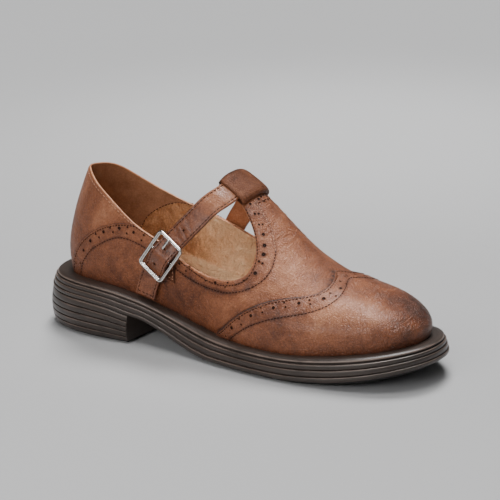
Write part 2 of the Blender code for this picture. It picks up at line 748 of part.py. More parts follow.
def strap_course():
    """The strap's middle line as curves of its own length share."""
    places = [last_point(s, q) for s, q, lift in STRAP_LINE]
    steps = [float(np.linalg.norm(b - a)) for a, b in zip(places, places[1:])]
    at = np.concatenate([[0.0], np.cumsum(steps)]) / sum(steps)
    return curve([(a, *row) for a, row in zip(at, STRAP_LINE)], ("at", "s", "q", "lift"))


COURSE = strap_course()


def strap_frame(share):
    """Place on the last, and the step in s and q that lies square across the strap, for one metre."""
    step = 1e-3
    s = COURSE["s"](share)
    q = COURSE["q"](share)
    forward = last_point(COURSE["s"](share + step), COURSE["q"](share + step))
    forward -= last_point(COURSE["s"](share - step), COURSE["q"](share - step))
    by_s = (last_point(s + step, q) - last_point(s - step, q)) / (2.0 * step)
    by_q = (last_point(s, q + step) - last_point(s, q - step)) / (2.0 * step)
    normal = np.cross(by_s, by_q)
    across = np.cross(normal, forward)
    across /= np.linalg.norm(across)
    sides = np.linalg.lstsq(np.stack([by_s, by_q], axis=1), across, rcond=None)[0]
    return s, q, sides


def strap_points(share, section):
    """Points of the strap's cross section at one place along it."""
    s, q, sides = strap_frame(share)
    lift = float(COURSE["lift"](share)) * STRAP + GAP
    places = np.array([place for place, height in section]) * STRAP_WIDTH / 2.0
    heights = np.array([height for place, height in section]) * STRAP
    return over_last(s + sides[0] * places, q + sides[1] * places, lift + heights)


def make_strap():
    rings = [strap_points(share, STRAP_SECTION) for share in np.linspace(0.0, 1.0, STRAP_STATIONS)]
    count = len(STRAP_SECTION)
    points = np.concatenate(rings)
    faces = grid_faces(len(rings), count, closed_columns=True)
    faces.append(tuple(range(count))[::-1])
    faces.append(tuple((len(rings) - 1) * count + k for k in range(count)))
    make_object("strap", points, faces, (0.30, 0.135, 0.075), 0.42)


def keeper_ring(q, section):
    """Section of the loop at one q: share from its back edge to its front edge, and height over the last."""
    bend = 1.0 - (q / KEEPER_SIDE) ** 2
    back = KEEPER_BACK[0] + (KEEPER_BACK[1] - KEEPER_BACK[0]) * bend
    front = KEEPER_FRONT[0] + (KEEPER_FRONT[1] - KEEPER_FRONT[0]) * bend
    share = np.array([place for place, height in section])
    height = np.array([height for place, height in section])
    return over_last(back + (front - back) * share, np.full(len(section), q), height)


def make_keeper():
    crown = [(place, height * KEEPER_CROWN) for place, height in KEEPER_TOP]
    outer = crown + [(1.0 - KEEPER_EDGE, -KEEPER), (0.50, -KEEPER), (KEEPER_EDGE, -KEEPER)]
    roof = GAP + STRAP * CROWN + 1.5 * GAP
    levels = {"floor": -GAP, "middle": roof * 0.5, "roof": roof}
    inner = [(place, levels[level]) for place, level in KEEPER_HOLE]
    count = len(outer)
    stations = np.linspace(-KEEPER_SIDE, KEEPER_SIDE, KEEPER_STATIONS + 1)
    outside = np.concatenate([keeper_ring(q, outer) for q in stations])
    inside = np.concatenate([keeper_ring(q, inner) for q in stations])
    total = len(outside)
    ring_faces = grid_faces(len(stations), count, closed_columns=True)
    faces = ring_faces + [tuple(k + total for k in reversed(f)) for f in ring_faces]
    for row in (0, len(stations) - 1):
        for k in range(count):
            a = row * count + k
            b = row * count + (k + 1) % count
            faces.append((b, a, a + total, b + total) if row == 0 else (a, b, b + total, a + total))
    make_object("strap_keeper", np.concatenate([outside, inside]), faces, (0.25, 0.11, 0.065), 0.40)


def buckle_axes():
    """Centre on the last, and unit vectors along the strap, across it and out of the shoe."""
    s, q = BUCKLE_AT
    share = np.linspace(0.0, 0.5, 401)
    nearest = share[np.argmin(np.abs(COURSE["q"](share) - q))]
    centre = last_point(s, q)
    forward = last_point(COURSE["s"](nearest + BUCKLE_SPAN), COURSE["q"](nearest + BUCKLE_SPAN))
    forward -= last_point(COURSE["s"](nearest - BUCKLE_SPAN), COURSE["q"](nearest - BUCKLE_SPAN))
    out = over_last(s, q, 1.0) - centre
    forward -= out * (forward @ out)
    forward /= np.linalg.norm(forward)
    return centre, forward, np.cross(out, forward), out


def rounded_rectangle(length, width, radius, parts=3):
    """Plan points of a rectangle with round corners."""
    points = []
    for corner, (sx, sy) in enumerate(((1, 1), (-1, 1), (-1, -1), (1, -1))):
        for k in range(parts + 1):
            turn = (corner + k / parts) * HALF_TURN / 2.0
            points.append((
                sx * (length / 2.0 - radius) + radius * math.cos(turn),
                sy * (width / 2.0 - radius) + radius * math.sin(turn),
            ))
    return points


def make_buckle():
    centre, forward, across, out = buckle_axes()
    soft = BUCKLE_BAR * BUCKLE_SOFT
    rings = (
        (soft, 0.0), (0.0, soft), (0.0, BUCKLE_DEPTH - soft), (soft, BUCKLE_DEPTH),
        (BUCKLE_BAR - soft, BUCKLE_DEPTH), (BUCKLE_BAR, BUCKLE_DEPTH - soft), (BUCKLE_BAR, soft),
        (BUCKLE_BAR - soft, 0.0),
    )
    points = []
    for inset, depth in rings:
        length = BUCKLE_LENGTH - 2.0 * inset
        width = BUCKLE_WIDTH - 2.0 * inset
        radius = max(BUCKLE_CORNER - inset, BUCKLE_INNER_CORNER)
        for a, b in rounded_rectangle(length, width, radius):
            points.append(centre + forward * a + across * b + out * (BUCKLE_RISE + depth))
    count = len(points) // len(rings)
    faces = grid_faces(len(rings), count, closed_rows=True, closed_columns=True)
    frame = make_object("buckle_frame", points, faces, (0.72, 0.71, 0.69), 0.16, 1.0)
    # the centre bar, which the strap passes over, joined into the frame
    middle = centre + out * BUCKLE_RISE
    reach = across * (BUCKLE_WIDTH - BUCKLE_BAR) / 2.0
    bar = rod(middle - reach, middle + reach, CENTRE_BAR / 2.0)
    cutter = make_object("centre_bar", *bar, (0.72, 0.71, 0.69), 0.16, 1.0)
    cutter.hide_render = True
    cutter.display_type = "WIRE"
    join = frame.modifiers.new("centre_bar", "BOOLEAN")
    join.operation = "UNION"
    join.object = cutter


def rod(start, end, radius):
    """Points and faces of a round rod."""
    axis = end - start
    axis /= np.linalg.norm(axis)
    helper = np.array([0.0, 0.0, 1.0]) if abs(axis[2]) < 0.8 else np.array([1.0, 0.0, 0.0])
    first = np.cross(axis, helper)
    first /= np.linalg.norm(first)
    second = np.cross(axis, first)
    turns = 2.0 * HALF_TURN * np.arange(RODS) / RODS
    ring = np.cos(turns)[:, None] * first * radius + np.sin(turns)[:, None] * second * radius
    faces = grid_faces(2, RODS, closed_columns=True)
    faces += [tuple(range(RODS))[::-1], tuple(range(RODS, 2 * RODS))]
    return np.concatenate([start + ring, end + ring]), faces


def make_prong():
    """The prong's free end: it leaves the strap over the centre bar and rests on the frame's upper bar."""
    centre, forward, across, out = buckle_axes()
    radius = PRONG / 2.0
    top = BUCKLE_RISE + BUCKLE_DEPTH + GAP + radius
    rings = []
    reach = BUCKLE_LENGTH / 2.0
    turns = 2.0 * HALF_TURN * np.arange(RODS) / RODS
    for place, height, size in PRONG_LINE:
        spot = centre + forward * reach * place + out * (top + PRONG * height)
        rings.append(spot + radius * size * (np.cos(turns)[:, None] * across + np.sin(turns)[:, None] * out))
    points = np.concatenate(rings)
    faces = grid_faces(len(rings), RODS, closed_columns=True)
    faces += [tuple(range(RODS))[::-1], tuple(range(len(points) - RODS, len(points)))]
    make_object("buckle_prong", points, faces, (0.72, 0.71, 0.69), 0.16, 1.0)


def make_tab():
    (s_from, s_to), (q_from, q_to) = TAB_SPAN
    s, q = np.meshgrid(np.linspace(s_from, s_to, TAB_STATIONS), np.linspace(q_from, q_to, TAB_STATIONS))
    high = over_last(s, q, np.full(s.shape, 1.5 * GAP + TAB))
    low = over_last(s, q, np.full(s.shape, 1.5 * GAP))
    points, faces = slab(high, low)
    make_object("buckle_tab", points, faces, (0.24, 0.11, 0.065), 0.5)


def main():
    for old in list(bpy.data.objects):
        bpy.data.objects.remove(old, do_unlink=True)
    make_outsole()
    make_heel()
    make_treads()
    make_insole()
    make_upper()
    make_cap()
    make_strap()
    make_keeper()
    make_buckle()
    make_prong()
    make_tab()


main()
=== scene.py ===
"""Looks of a right mary jane shoe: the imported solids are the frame, and the fine surfaces are made here.

Metres. +X is the toe, +Y the inner side, +Z up. Places on the shoe are s and q on its last, as in the part's
source: s runs from 0 at the heel to 1 at the toe, q from 0 at the middle of the instep to 1 at the sole,
minus on the outer side. Many places are given as a distance in millimetres from a line on the leather.
"""
import itertools
import json
import math

import bpy
import numpy as np
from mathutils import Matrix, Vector
from mathutils.bvhtree import BVHTree

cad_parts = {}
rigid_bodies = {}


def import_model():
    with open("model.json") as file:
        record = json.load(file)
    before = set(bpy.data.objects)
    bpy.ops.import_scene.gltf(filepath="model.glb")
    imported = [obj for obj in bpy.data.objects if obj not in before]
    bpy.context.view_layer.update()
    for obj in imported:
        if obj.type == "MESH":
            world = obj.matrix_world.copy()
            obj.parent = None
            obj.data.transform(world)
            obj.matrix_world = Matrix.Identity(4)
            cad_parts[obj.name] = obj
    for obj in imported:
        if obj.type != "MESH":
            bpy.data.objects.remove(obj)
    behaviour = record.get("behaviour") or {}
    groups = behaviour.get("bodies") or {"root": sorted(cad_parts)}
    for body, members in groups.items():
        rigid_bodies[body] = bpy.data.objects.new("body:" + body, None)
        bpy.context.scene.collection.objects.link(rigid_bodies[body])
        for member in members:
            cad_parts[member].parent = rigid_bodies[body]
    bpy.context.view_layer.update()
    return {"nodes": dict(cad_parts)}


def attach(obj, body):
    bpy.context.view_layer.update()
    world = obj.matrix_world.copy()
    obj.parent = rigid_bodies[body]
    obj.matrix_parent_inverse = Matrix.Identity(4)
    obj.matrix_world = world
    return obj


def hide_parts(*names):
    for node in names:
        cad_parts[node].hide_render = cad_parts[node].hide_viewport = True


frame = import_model()
MM = 0.001

# Sizes, the last and the pattern, as in the part's source

LAST_LENGTH = 0.250       # along the feather line
BALL_HALF = 0.042         # half of the ball's width at the feather line
INSTEP_HEIGHT = 0.102     # the last's full height above the feather line
HEEL_SEAT = 0.035         # feather line above the ground at the heel
PLATFORM = 0.0155         # the same at the ball
TOE_SPRING = 0.0095       # lift of the tread at the tip of the toe
SHANK = 0.0115            # thickness of the sole over the heel block and the waist
LIP = 0.0073              # reach of the sole's lip beyond the upper
RIB = 0.0032              # reach of the lowest rib beyond the lip
TREAD = 0.0015            # thickness of the tread layers under the heel and the ball
HEEL_BREAST = 0.262       # front of the heel block, as a share of the length
WALL = 0.0022             # upper: leather and lining
PANEL = 0.0007            # the front panel stands this much above the heel counter
CAP = 0.0008              # thickness of the winged toe cap
STRAP_WIDTH = 0.0146
STRAP = 0.0020            # thickness
KEEPER = 0.0015           # thickness of the loop's under layer
KEEPER_CROWN = 0.0042     # top of the loop above the last
BUCKLE_LENGTH = 0.0280
BUCKLE_WIDTH = 0.0212
BUCKLE_BAR = 0.0024
BUCKLE_DEPTH = 0.0020
CENTRE_BAR = 0.0014       # diameter
PRONG = 0.0017            # diameter
TAB = 0.0006              # leather tab under the buckle
GAP = 0.0003              # clearance between neighbours
BED_GAP = 0.0006          # from the sole's top up to the upper's lower edge
CAP_GAP = 0.0009          # under the toe cap
MIDLINE = 0.0013          # the last's midline lies this far to the inner side, so that the origin is mid-shoe
TOE_CROWD = 0.80          # from here to the toe the rows crowd towards the feather line
# The last, in shares. centre, half, offset and bulge are shares of BALL_HALF, rise of the heel's rise above
# the platform, spring of TOE_SPRING and ridge of INSTEP_HEIGHT. side and top set how full the section is.
LAST_COLUMNS = ("at", "centre", "half", "rise", "spring", "ridge", "offset", "bulge", "side", "top")
LAST = (
    (0.00, -0.11, 0.830, 1.000, 0.00, 0.840, -0.10, 0.14, 0.50, 0.55),
    (0.12, -0.11, 0.800, 0.990, 0.00, 0.920, -0.10, 0.16, 0.56, 0.55),
    (0.25, -0.10, 0.740, 0.820, 0.00, 0.970, -0.06, 0.18, 0.62, 0.56),
    (0.40, -0.11, 0.720, 0.375, 0.00, 0.920, 0.02, 0.19, 0.56, 0.52),
    (0.52, -0.12, 0.810, 0.077, 0.00, 0.800, 0.06, 0.18, 0.52, 0.49),
    (0.63, -0.08, 0.930, 0.000, 0.00, 0.585, 0.07, 0.16, 0.53, 0.45),
    (0.74, -0.03, 0.995, 0.000, 0.05, 0.402, 0.06, 0.14, 0.66, 0.50),
    (0.85, 0.01, 0.995, 0.000, 0.35, 0.338, 0.04, 0.10, 0.76, 0.60),
    (1.00, 0.02, 0.960, 0.000, 0.95, 0.270, 0.02, 0.05, 0.80, 0.66),
)
HEEL_ROUND = 15.5         # larger is squarer in plan
TOE_ROUND = 10.0
RIDGE_ROUND = 11.0
# How far the back of the heel stands forward: height above the feather line as a share of INSTEP_HEIGHT, and
# the distance as a share of LAST_LENGTH
LEAN_COLUMNS = ("at", "lean")
LEAN = (
    (-0.05, 0.0020),
    (0.00, 0.0000),
    (0.12, -0.0050),
    (0.25, 0.0010),
    (0.44, 0.0210),
    (0.64, 0.0460),
    (1.08, 0.0990),
)
LEAN_REACH = 0.35         # share of the length over which it fades
CREST_DROP = 0.0032       # the last's crest falls by this under the loop
CREST_FROM = 0.535        # s where the fall begins
CREST_OVER = 0.060        # share of the length over which it grows
CREST_TOP = 0.70          # it acts above this share of the section
TOE_PUFF = 0.0020         # the toe's front bulges over the feather line
TOE_PUFF_HEIGHT = 0.022
TOE_PUFF_FROM = 0.75
# Underside of the sole: drop is a share of the height under the shank at the heel, spring of TOE_SPRING
UNDER_COLUMNS = ("at", "drop", "spring")
UNDER = (
    (0.00, 1.000, 0.00),
    (0.12, 0.990, 0.00),
    (0.19, 0.930, 0.00),
    (0.26, 0.780, 0.00),
    (0.30, 0.720, 0.00),
    (0.34, 0.585, 0.00),
    (0.38, 0.410, 0.00),
    (0.43, 0.195, 0.00),
    (0.47, 0.070, 0.00),
    (0.52, 0.000, 0.00),
    (0.72, 0.000, 0.00),
    (0.83, 0.000, 0.18),
    (0.92, 0.000, 0.55),
    (1.00, 0.000, 1.00),
)
# The lip's reach along the shoe, as a share of LIP
LIP_COLUMNS = ("at", "reach")
LIP_REACH = ((0.00, 1.16), (0.25, 1.08), (0.50, 1.00), (0.80, 1.00), (1.00, 1.12))
# The heel block's barrel, and its ribs: reach is a share of RIB beyond the lip
BARREL_COLUMNS = ("at", "reach")
BARREL = ((0.00, 1.00), (0.35, 1.32), (0.60, 1.30), (0.85, 1.05), (1.00, 0.70))
HEEL_RIBS = 5
# The mouth of the upper from the back seam forward: s and q on the last, foot is the s where the same column
# of the pattern stands on the feather line, and bow is how much the column follows the counter's arch
MOUTH_OUTER = (
    (0.000, 0.430, 0.000, 0.00),
    (0.030, 0.437, 0.008, 0.45),
    (0.096, 0.532, 0.020, 0.75),
    (0.170, 0.637, 0.034, 0.92),
    (0.262, 0.736, 0.050, 1.00),
    (0.330, 0.752, 0.110, 0.80),
    (0.407, 0.768, 0.240, 0.40),
    (0.475, 0.756, 0.400, 0.10),
    (0.535, 0.712, 0.540, 0.00),
    (0.583, 0.611, 0.650, 0.00),
    (0.594, 0.500, 0.740, 0.00),
    (0.581, 0.377, 0.840, 0.00),
    (0.551, 0.294, 0.925, 0.00),
    (0.522, 0.251, 0.970, 0.00),
)
MOUTH_INNER = (
    (0.000, 0.430, 0.000, 0.00),
    (0.025, 0.478, 0.008, 0.45),
    (0.075, 0.575, 0.020, 0.75),
    (0.154, 0.682, 0.034, 0.92),
    (0.262, 0.738, 0.050, 1.00),
    (0.330, 0.728, 0.110, 0.80),
    (0.395, 0.712, 0.240, 0.40),
    (0.460, 0.708, 0.400, 0.10),
    (0.525, 0.678, 0.540, 0.00),
    (0.573, 0.590, 0.650, 0.00),
    (0.587, 0.490, 0.740, 0.00),
    (0.577, 0.385, 0.840, 0.00),
    (0.550, 0.300, 0.925, 0.00),
    (0.522, 0.251, 0.970, 0.00),
)
ARCH_ROW = 4              # the row where the front panel's arched edge leaves the mouth
ARCH_PULL = (-0.080, -0.095)   # how far that edge's control point lies off its chord, in root s and q
BAR_END = 0.535           # s of the middle of the T bar's end
BAR_HALF = 0.0145         # half the length of that end
STEP_WIDTH = 0.0012       # width of the step at the panel's edge, as a share of the pattern
# Edge of the winged toe cap from its wing tip to its middle peak, s and q
WING = (
    (0.522, 0.985),
    (0.545, 0.939),
    (0.599, 0.804),
    (0.659, 0.657),
    (0.721, 0.512),
    (0.763, 0.375),
    (0.772, 0.260),
    (0.765, 0.130),
    (0.748, 0.000),
)
WING_FOOT = 0.518         # the wing tip's s on the feather line
CAP_BLEND = (0.70, 0.86)  # between these the upper sinks so that the cap keeps the last's outline
# The strap's middle line from its outer tip over the instep: s, q and the gap below it in shares of STRAP
STRAP_LINE = (
    (0.301, -0.983, 1.15),
    (0.3065, -0.950, 0.75),
    (0.3145, -0.912, 0.50),
    (0.3235, -0.879, 0.50),
    (0.337, -0.839, 1.15),
    (0.353, -0.790, 2.45),
    (0.368, -0.738, 1.05),
    (0.3825, -0.690, 0.35),
    (0.400, -0.633, 0.30),
    (0.428, -0.527, 0.20),
    (0.456, -0.390, 0.10),
    (0.480, -0.250, 0.00),
    (0.485, -0.120, 0.00),
    (0.487, 0.000, 0.00),
    (0.485, 0.120, 0.00),
    (0.480, 0.250, 0.00),
    (0.453, 0.420, 0.10),
    (0.422, 0.590, 0.20),
    (0.396, 0.690, 0.30),
    (0.372, 0.790, 0.25),
    (0.350, 0.880, 0.20),
)
CROWN = 1.06              # the strap's middle is this much fuller than its edges
# The loop at the end of the T bar: s of its two edges at the sides and in the middle, and its q
KEEPER_BACK = (0.449, 0.452)
KEEPER_FRONT = (0.5205, 0.5335)
KEEPER_SIDE = 0.247
KEEPER_EDGE = 0.03        # the under layer's edges stand in by this share
BUCKLE_AT = (0.352, -0.790)
BUCKLE_CORNER = 0.0034    # outer corner radius
BUCKLE_INNER_CORNER = 0.0010
BUCKLE_SPAN = 0.06        # the frame lies along the chord between these shares of the strap, each side of it
BUCKLE_RISE = 0.0039      # underside of the frame above the last
TAB_SPAN = ((0.335, 0.385), (-0.785, -0.880))   # s and q
FLAT = 1e-6
HALF_TURN = math.pi


def curve(table, names):
    """Natural cubic curves through a table's columns, read by its first one, and straight beyond it."""
    rows = np.array(table, float)
    at = rows[:, 0]
    step = np.diff(at)
    count = len(at)
    system = np.eye(count)
    for i in range(1, count - 1):
        system[i, i - 1] = step[i - 1]
        system[i, i] = 2.0 * (step[i - 1] + step[i])
        system[i, i + 1] = step[i]

    def column(value):
        slope = np.diff(value) / step
        right = np.zeros(count)
        right[1:-1] = 6.0 * np.diff(slope)
        bend = np.linalg.solve(system, right)

        def read(t):
            asked = np.asarray(t, float)
            t = np.clip(asked, at[0], at[-1])
            i = np.clip(np.searchsorted(at, t) - 1, 0, count - 2)
            d = t - at[i]
            first = slope[i] - step[i] * (2.0 * bend[i] + bend[i + 1]) / 6.0
            third = (bend[i + 1] - bend[i]) / (6.0 * step[i])
            inside = value[i] + first * d + bend[i] * d**2 / 2.0 + third * d**3
            last_slope = slope[-1] + step[-1] * bend[-2] / 6.0
            slope_out = np.where(asked > at[-1], last_slope, slope[0] - step[0] * bend[1] / 6.0)
            return inside + slope_out * (asked - t)

        return read

    return {name: column(rows[:, k]) for k, name in enumerate(names) if k}


def steady(table, names):
    """Curves that never overshoot their rows, so that a level stretch stays level, and run on straight."""
    rows = np.array(table, float)
    at = rows[:, 0]
    step = np.diff(at)

    def column(value):
        slope = np.diff(value) / step
        tangent = np.zeros(len(at))
        for i in range(1, len(at) - 1):
            if slope[i - 1] * slope[i] > 0.0:
                tangent[i] = 2.0 * slope[i - 1] * slope[i] / (slope[i - 1] + slope[i])
        tangent[0] = slope[0]
        tangent[-1] = slope[-1]

        def read(t):
            asked = np.asarray(t, float)
            t = np.clip(asked, at[0], at[-1])
            i = np.clip(np.searchsorted(at, t) - 1, 0, len(at) - 2)
            u = (t - at[i]) / step[i]
            start = (2 * u**3 - 3 * u**2 + 1) * value[i] + (u**3 - 2 * u**2 + u) * step[i] * tangent[i]
            end = (3 * u**2 - 2 * u**3) * value[i + 1] + (u**3 - u**2) * step[i] * tangent[i + 1]
            slope_out = np.where(asked > at[-1], tangent[-1], tangent[0])
            return start + end + slope_out * (asked - t)

        return read

    return {name: column(rows[:, k]) for k, name in enumerate(names) if k}


def ease(t):
    t = np.clip(t, 0.0, 1.0)
    return t * t * (3.0 - 2.0 * t)


FORM = curve(LAST, LAST_COLUMNS)
BACK = curve(LEAN, LEAN_COLUMNS)
BELOW = steady(UNDER, UNDER_COLUMNS)
REACH = curve(LIP_REACH, LIP_COLUMNS)
SWELL = curve(BARREL, BARREL_COLUMNS)


def feather(s):
    """Height of the feather line."""
    return PLATFORM + (HEEL_SEAT - PLATFORM) * FORM["rise"](s) + TOE_SPRING * FORM["spring"](s)


def underside(s):
    """Height of the moulded sole's underside, above the tread layers."""
    base = TREAD + GAP
    return base + (HEEL_SEAT - SHANK - base) * BELOW["drop"](s) + TOE_SPRING * BELOW["spring"](s)


def toe_end(s):
    return np.sqrt(np.clip(1.0 - s**TOE_ROUND, 0.0, None))


def heel_end(s):
    return np.sqrt(np.clip(1.0 - (1.0 - s) ** HEEL_ROUND, 0.0, None))


def last_point(s, q):
    """Points on the last."""
    s, q = np.broadcast_arrays(np.asarray(s, float), np.asarray(q, float))
    side = np.where(q < 0.0, -1.0, 1.0)
    g = 1.0 - np.abs(q) / np.maximum(toe_end(s), FLAT)
    g = np.minimum(g, 1.0)
    half = FORM["half"](s) * BALL_HALF
    height = FORM["ridge"](s) * INSTEP_HEIGHT * np.sqrt(np.clip(1.0 - s**RIDGE_ROUND, 0.0, None))
    fuller = half + FORM["bulge"](s) * BALL_HALF
    rest = 1.0 - g
    across = rest**3 * half + 3 * rest**2 * g * fuller + 3 * rest * g**2 * FORM["top"](s) * half
    up = 3 * rest**2 * g * FORM["side"](s) * height + (3 * rest * g**2 + g**3) * height
    up = up - CREST_DROP * ease((CREST_FROM - s) / CREST_OVER) * ease((g - CREST_TOP) / (1.0 - CREST_TOP))
    centre = FORM["centre"](s)
    middle = MIDLINE + BALL_HALF * (centre + (FORM["offset"](s) - centre) * ease(g))
    lean = LAST_LENGTH * BACK["lean"](up / INSTEP_HEIGHT) * np.clip(1.0 - s / LEAN_REACH, 0.0, 1.0) ** 2
    puff = np.sin(np.clip(up / TOE_PUFF_HEIGHT, 0.0, 1.0) * HALF_TURN)
    puff = puff * np.clip((s - TOE_PUFF_FROM) / (1.0 - TOE_PUFF_FROM), 0.0, 1.0) ** 2
    x = (s - 0.5) * LAST_LENGTH + lean + TOE_PUFF * puff
    y = middle + side * across * heel_end(s) * toe_end(s)
    return np.stack([x, y, feather(s) + up], axis=-1)


def lifted(surface, u, v, lift, step=1e-4):
    """Points of a surface given by two numbers, moved out along its normal."""
    u, v = np.broadcast_arrays(np.asarray(u, float), np.asarray(v, float))
    along_u = surface(u + step, v) - surface(u - step, v)
    along_v = surface(u, v + step) - surface(u, v - step)
    normal = np.cross(along_u, along_v)
    normal /= np.linalg.norm(normal, axis=-1, keepdims=True)
    return surface(u, v) + normal * np.asarray(lift)[..., None]


def over_last(s, q, lift):
    """Points over the last at a height above it; s and q away from the heel seam and the toe."""
    return lifted(last_point, s, q, lift)


def grid_faces(rows, columns, closed_rows=False, closed_columns=False):
    """Quads over a grid of points stored row by row."""
    faces = []
    for i in range(rows if closed_rows else rows - 1):
        for j in range(columns if closed_columns else columns - 1):
            a = i * columns + j
            b = i * columns + (j + 1) % columns
            c = (i + 1) % rows * columns + (j + 1) % columns
            d = (i + 1) % rows * columns + j
            faces.append((a, b, c, d))
    return faces


def across_faces(first, count):
    """Closes a ring of points whose first lies at the toe: each outer point is joined with its inner one."""
    half = count // 2
    faces = [(first, first + 1, first + count - 1)]
    for j in range(1, half - 1):
        faces.append((first + j, first + j + 1, first + count - j - 1, first + count - j))
    faces.append((first + half - 1, first + half, first + half + 1))
    return faces


def slab(outer, inner):
    """A solid between two grids of the same shape, closed round their edges."""
    rows, columns = outer.shape[:2]
    count = rows * columns
    points = np.concatenate([outer.reshape(-1, 3), inner.reshape(-1, 3)])
    faces = grid_faces(rows, columns)
    faces += [tuple(k + count for k in reversed(f)) for f in grid_faces(rows, columns)]
    rim = [j for j in range(columns)]
    rim += [i * columns + columns - 1 for i in range(1, rows)]
    rim += [(rows - 1) * columns + j for j in range(columns - 2, -1, -1)]
    rim += [i * columns for i in range(rows - 2, 0, -1)]
    for a, b in zip(rim, rim[1:] + rim[:1]):
        faces.append((b, a, a + count, b + count))
    return points, faces


def station_angles(count):
    """Angles round the feather line as shares of a half turn, from the toe by the inner side to the heel."""
    return -1.0 + 2.0 * np.arange(count) / count


def along(angle):
    return (1.0 - np.cos(HALF_TURN * angle)) / 2.0


def turn_at(s):
    """The inverse of along, for one s."""
    return math.acos(1.0 - 2.0 * s) / HALF_TURN


def outline(angle, out):
    """Plan points of the feather line moved outwards. A negative angle is on the inner side."""

    def plan(a):
        s = along(a)
        side = np.sin(HALF_TURN * a)
        side = np.where(side > 0.0, -1.0, 1.0)
        y = MIDLINE + BALL_HALF * (FORM["centre"](s) + side * FORM["half"](s) * heel_end(s) * toe_end(s))
        return np.stack([(s - 0.5) * LAST_LENGTH, y], axis=-1)

    step = 1e-4
    tangent = plan(angle + step) - plan(angle - step)
    tangent /= np.linalg.norm(tangent, axis=-1, keepdims=True)
    normal = np.stack([tangent[..., 1], -tangent[..., 0]], axis=-1)
    return plan(angle) + normal * np.asarray(out)[..., None]


def lip_reach(s):
    return LIP * REACH["reach"](s)


def share_at(x):
    return x / LAST_LENGTH + 0.5


def sole_row(angle, out, level):
    """A row of points round the sole, at a share of the way from the sole's top down to its underside."""
    flat = outline(angle, out)
    s = share_at(flat[:, 0])
    top = feather(s) - BED_GAP
    height = top + (underside(s) - top) * level
    return np.concatenate([flat, height[:, None]], axis=1)


def mouth_rows():
    """Rows of the mouth from the T bar's inner corner round the heel to its outer corner, root s signed."""
    inner = [(math.sqrt(s), q, foot, bow) for s, q, foot, bow in MOUTH_INNER[::-1]]
    outer = [(-math.sqrt(s), q, foot, bow) for s, q, foot, bow in MOUTH_OUTER[1:]]
    return inner + outer


def mouth_knots():
    rows = mouth_rows()
    places = [last_point(p * p, math.copysign(q, p)) for p, q, foot, bow in rows]
    steps = [float(np.linalg.norm(b - a)) for a, b in zip(places, places[1:])]
    return np.concatenate([[0.0], np.cumsum(steps)])


KNOTS = mouth_knots()
PATTERN_NAMES = ("at", "root", "q", "foot", "bow")
PATTERN = curve(
    [
        (at, p, q, math.copysign(turn_at(foot), -p), bow)
        for at, (p, q, foot, bow) in zip(KNOTS, mouth_rows())
    ],
    PATTERN_NAMES,
)
LOOP = KNOTS[-1] + 2.0 * BAR_HALF


def pattern_point(at, rise):
    """Place on the last of a column of the pattern, rise 0 at the feather line and 1 at the mouth."""
    at = np.mod(np.asarray(at, float), LOOP)
    at, rise = np.broadcast_arrays(at, np.asarray(rise, float))
    beyond = np.clip((at - KNOTS[-1]) / (LOOP - KNOTS[-1]), 0.0, 1.0)
    inside = np.minimum(at, KNOTS[-1])
    root = PATTERN["root"](inside)
    q = PATTERN["q"](inside)
    foot = PATTERN["foot"](inside)
    # across the T bar's end, from its outer corner to its inner one
    swing = 1.0 - 2.0 * beyond
    end_s = BAR_END + (root**2 - BAR_END) * swing**2
    side = np.where((at <= KNOTS[-1]) & (root > 0.0), 1.0, -1.0)
    side = np.where(beyond > 0.5, 1.0, side)
    root = np.where(beyond > 0.0, side * np.sqrt(end_s), root)
    q = np.where(beyond > 0.0, q * np.abs(swing), q)
    foot = np.where(beyond > 0.0, side * -1.0 * (1.0 - (1.0 - np.abs(foot)) * np.abs(swing)), foot)
    foot_s = along(foot)
    foot_root = side * np.sqrt(foot_s)
    foot_q = toe_end(foot_s)
    bow = PATTERN["bow"](inside)
    bow = np.where(beyond > 0.0, 0.0, np.clip(bow, 0.0, 1.0))
    pull_root = (foot_root + root) / 2.0 + side * bow * ARCH_PULL[0]
    pull_q = (foot_q + q) / 2.0 + bow * ARCH_PULL[1]
    rise = rise ** (1.0 + toe_crowding(foot_s))
    rest = 1.0 - rise
    path_root = rest**2 * foot_root + 2.0 * rest * rise * pull_root + rise**2 * root
    path_q = rest**2 * foot_q + 2.0 * rest * rise * pull_q + rise**2 * q
    return path_root**2, np.where(path_root < 0.0, -1.0, side) * path_q


def toe_crowding(foot_s):
    """Rows crowd towards the feather line round the toe, where the last stands up almost straight."""
    return ease((foot_s - TOE_CROWD) / (1.0 - TOE_CROWD))


def sunk(s):
    """How far the upper lies under the last's outline to make room for the toe cap."""
    start, end = CAP_BLEND
    return (CAP + CAP_GAP) * ease((s - start) / (end - start))


WING_KNOTS = np.concatenate([[0.0], np.cumsum([
    float(np.linalg.norm(last_point(*b) - last_point(*a))) for a, b in zip(WING, WING[1:])
])])
WING_EDGE = curve([(at / WING_KNOTS[-1], s, q) for at, (s, q) in zip(WING_KNOTS, WING)], ("at", "s", "q"))


def cap_skin(place, rise):
    """place runs from -1 at the outer wing tip to 1 at the inner one, rise from the sole to its edge."""
    place, rise = np.broadcast_arrays(np.asarray(place, float), np.asarray(rise, float))
    side = np.where(place < 0.0, -1.0, 1.0)
    share = 1.0 - np.abs(place)
    tip = turn_at(WING_FOOT)
    foot_s = along(tip + (1.0 - tip) * share)
    foot_q = toe_end(foot_s)
    rise = rise ** (1.0 + toe_crowding(foot_s))
    s = foot_s + (WING_EDGE["s"](share) - foot_s) * rise
    q = foot_q + (WING_EDGE["q"](share) - foot_q) * rise
    return s, side * q


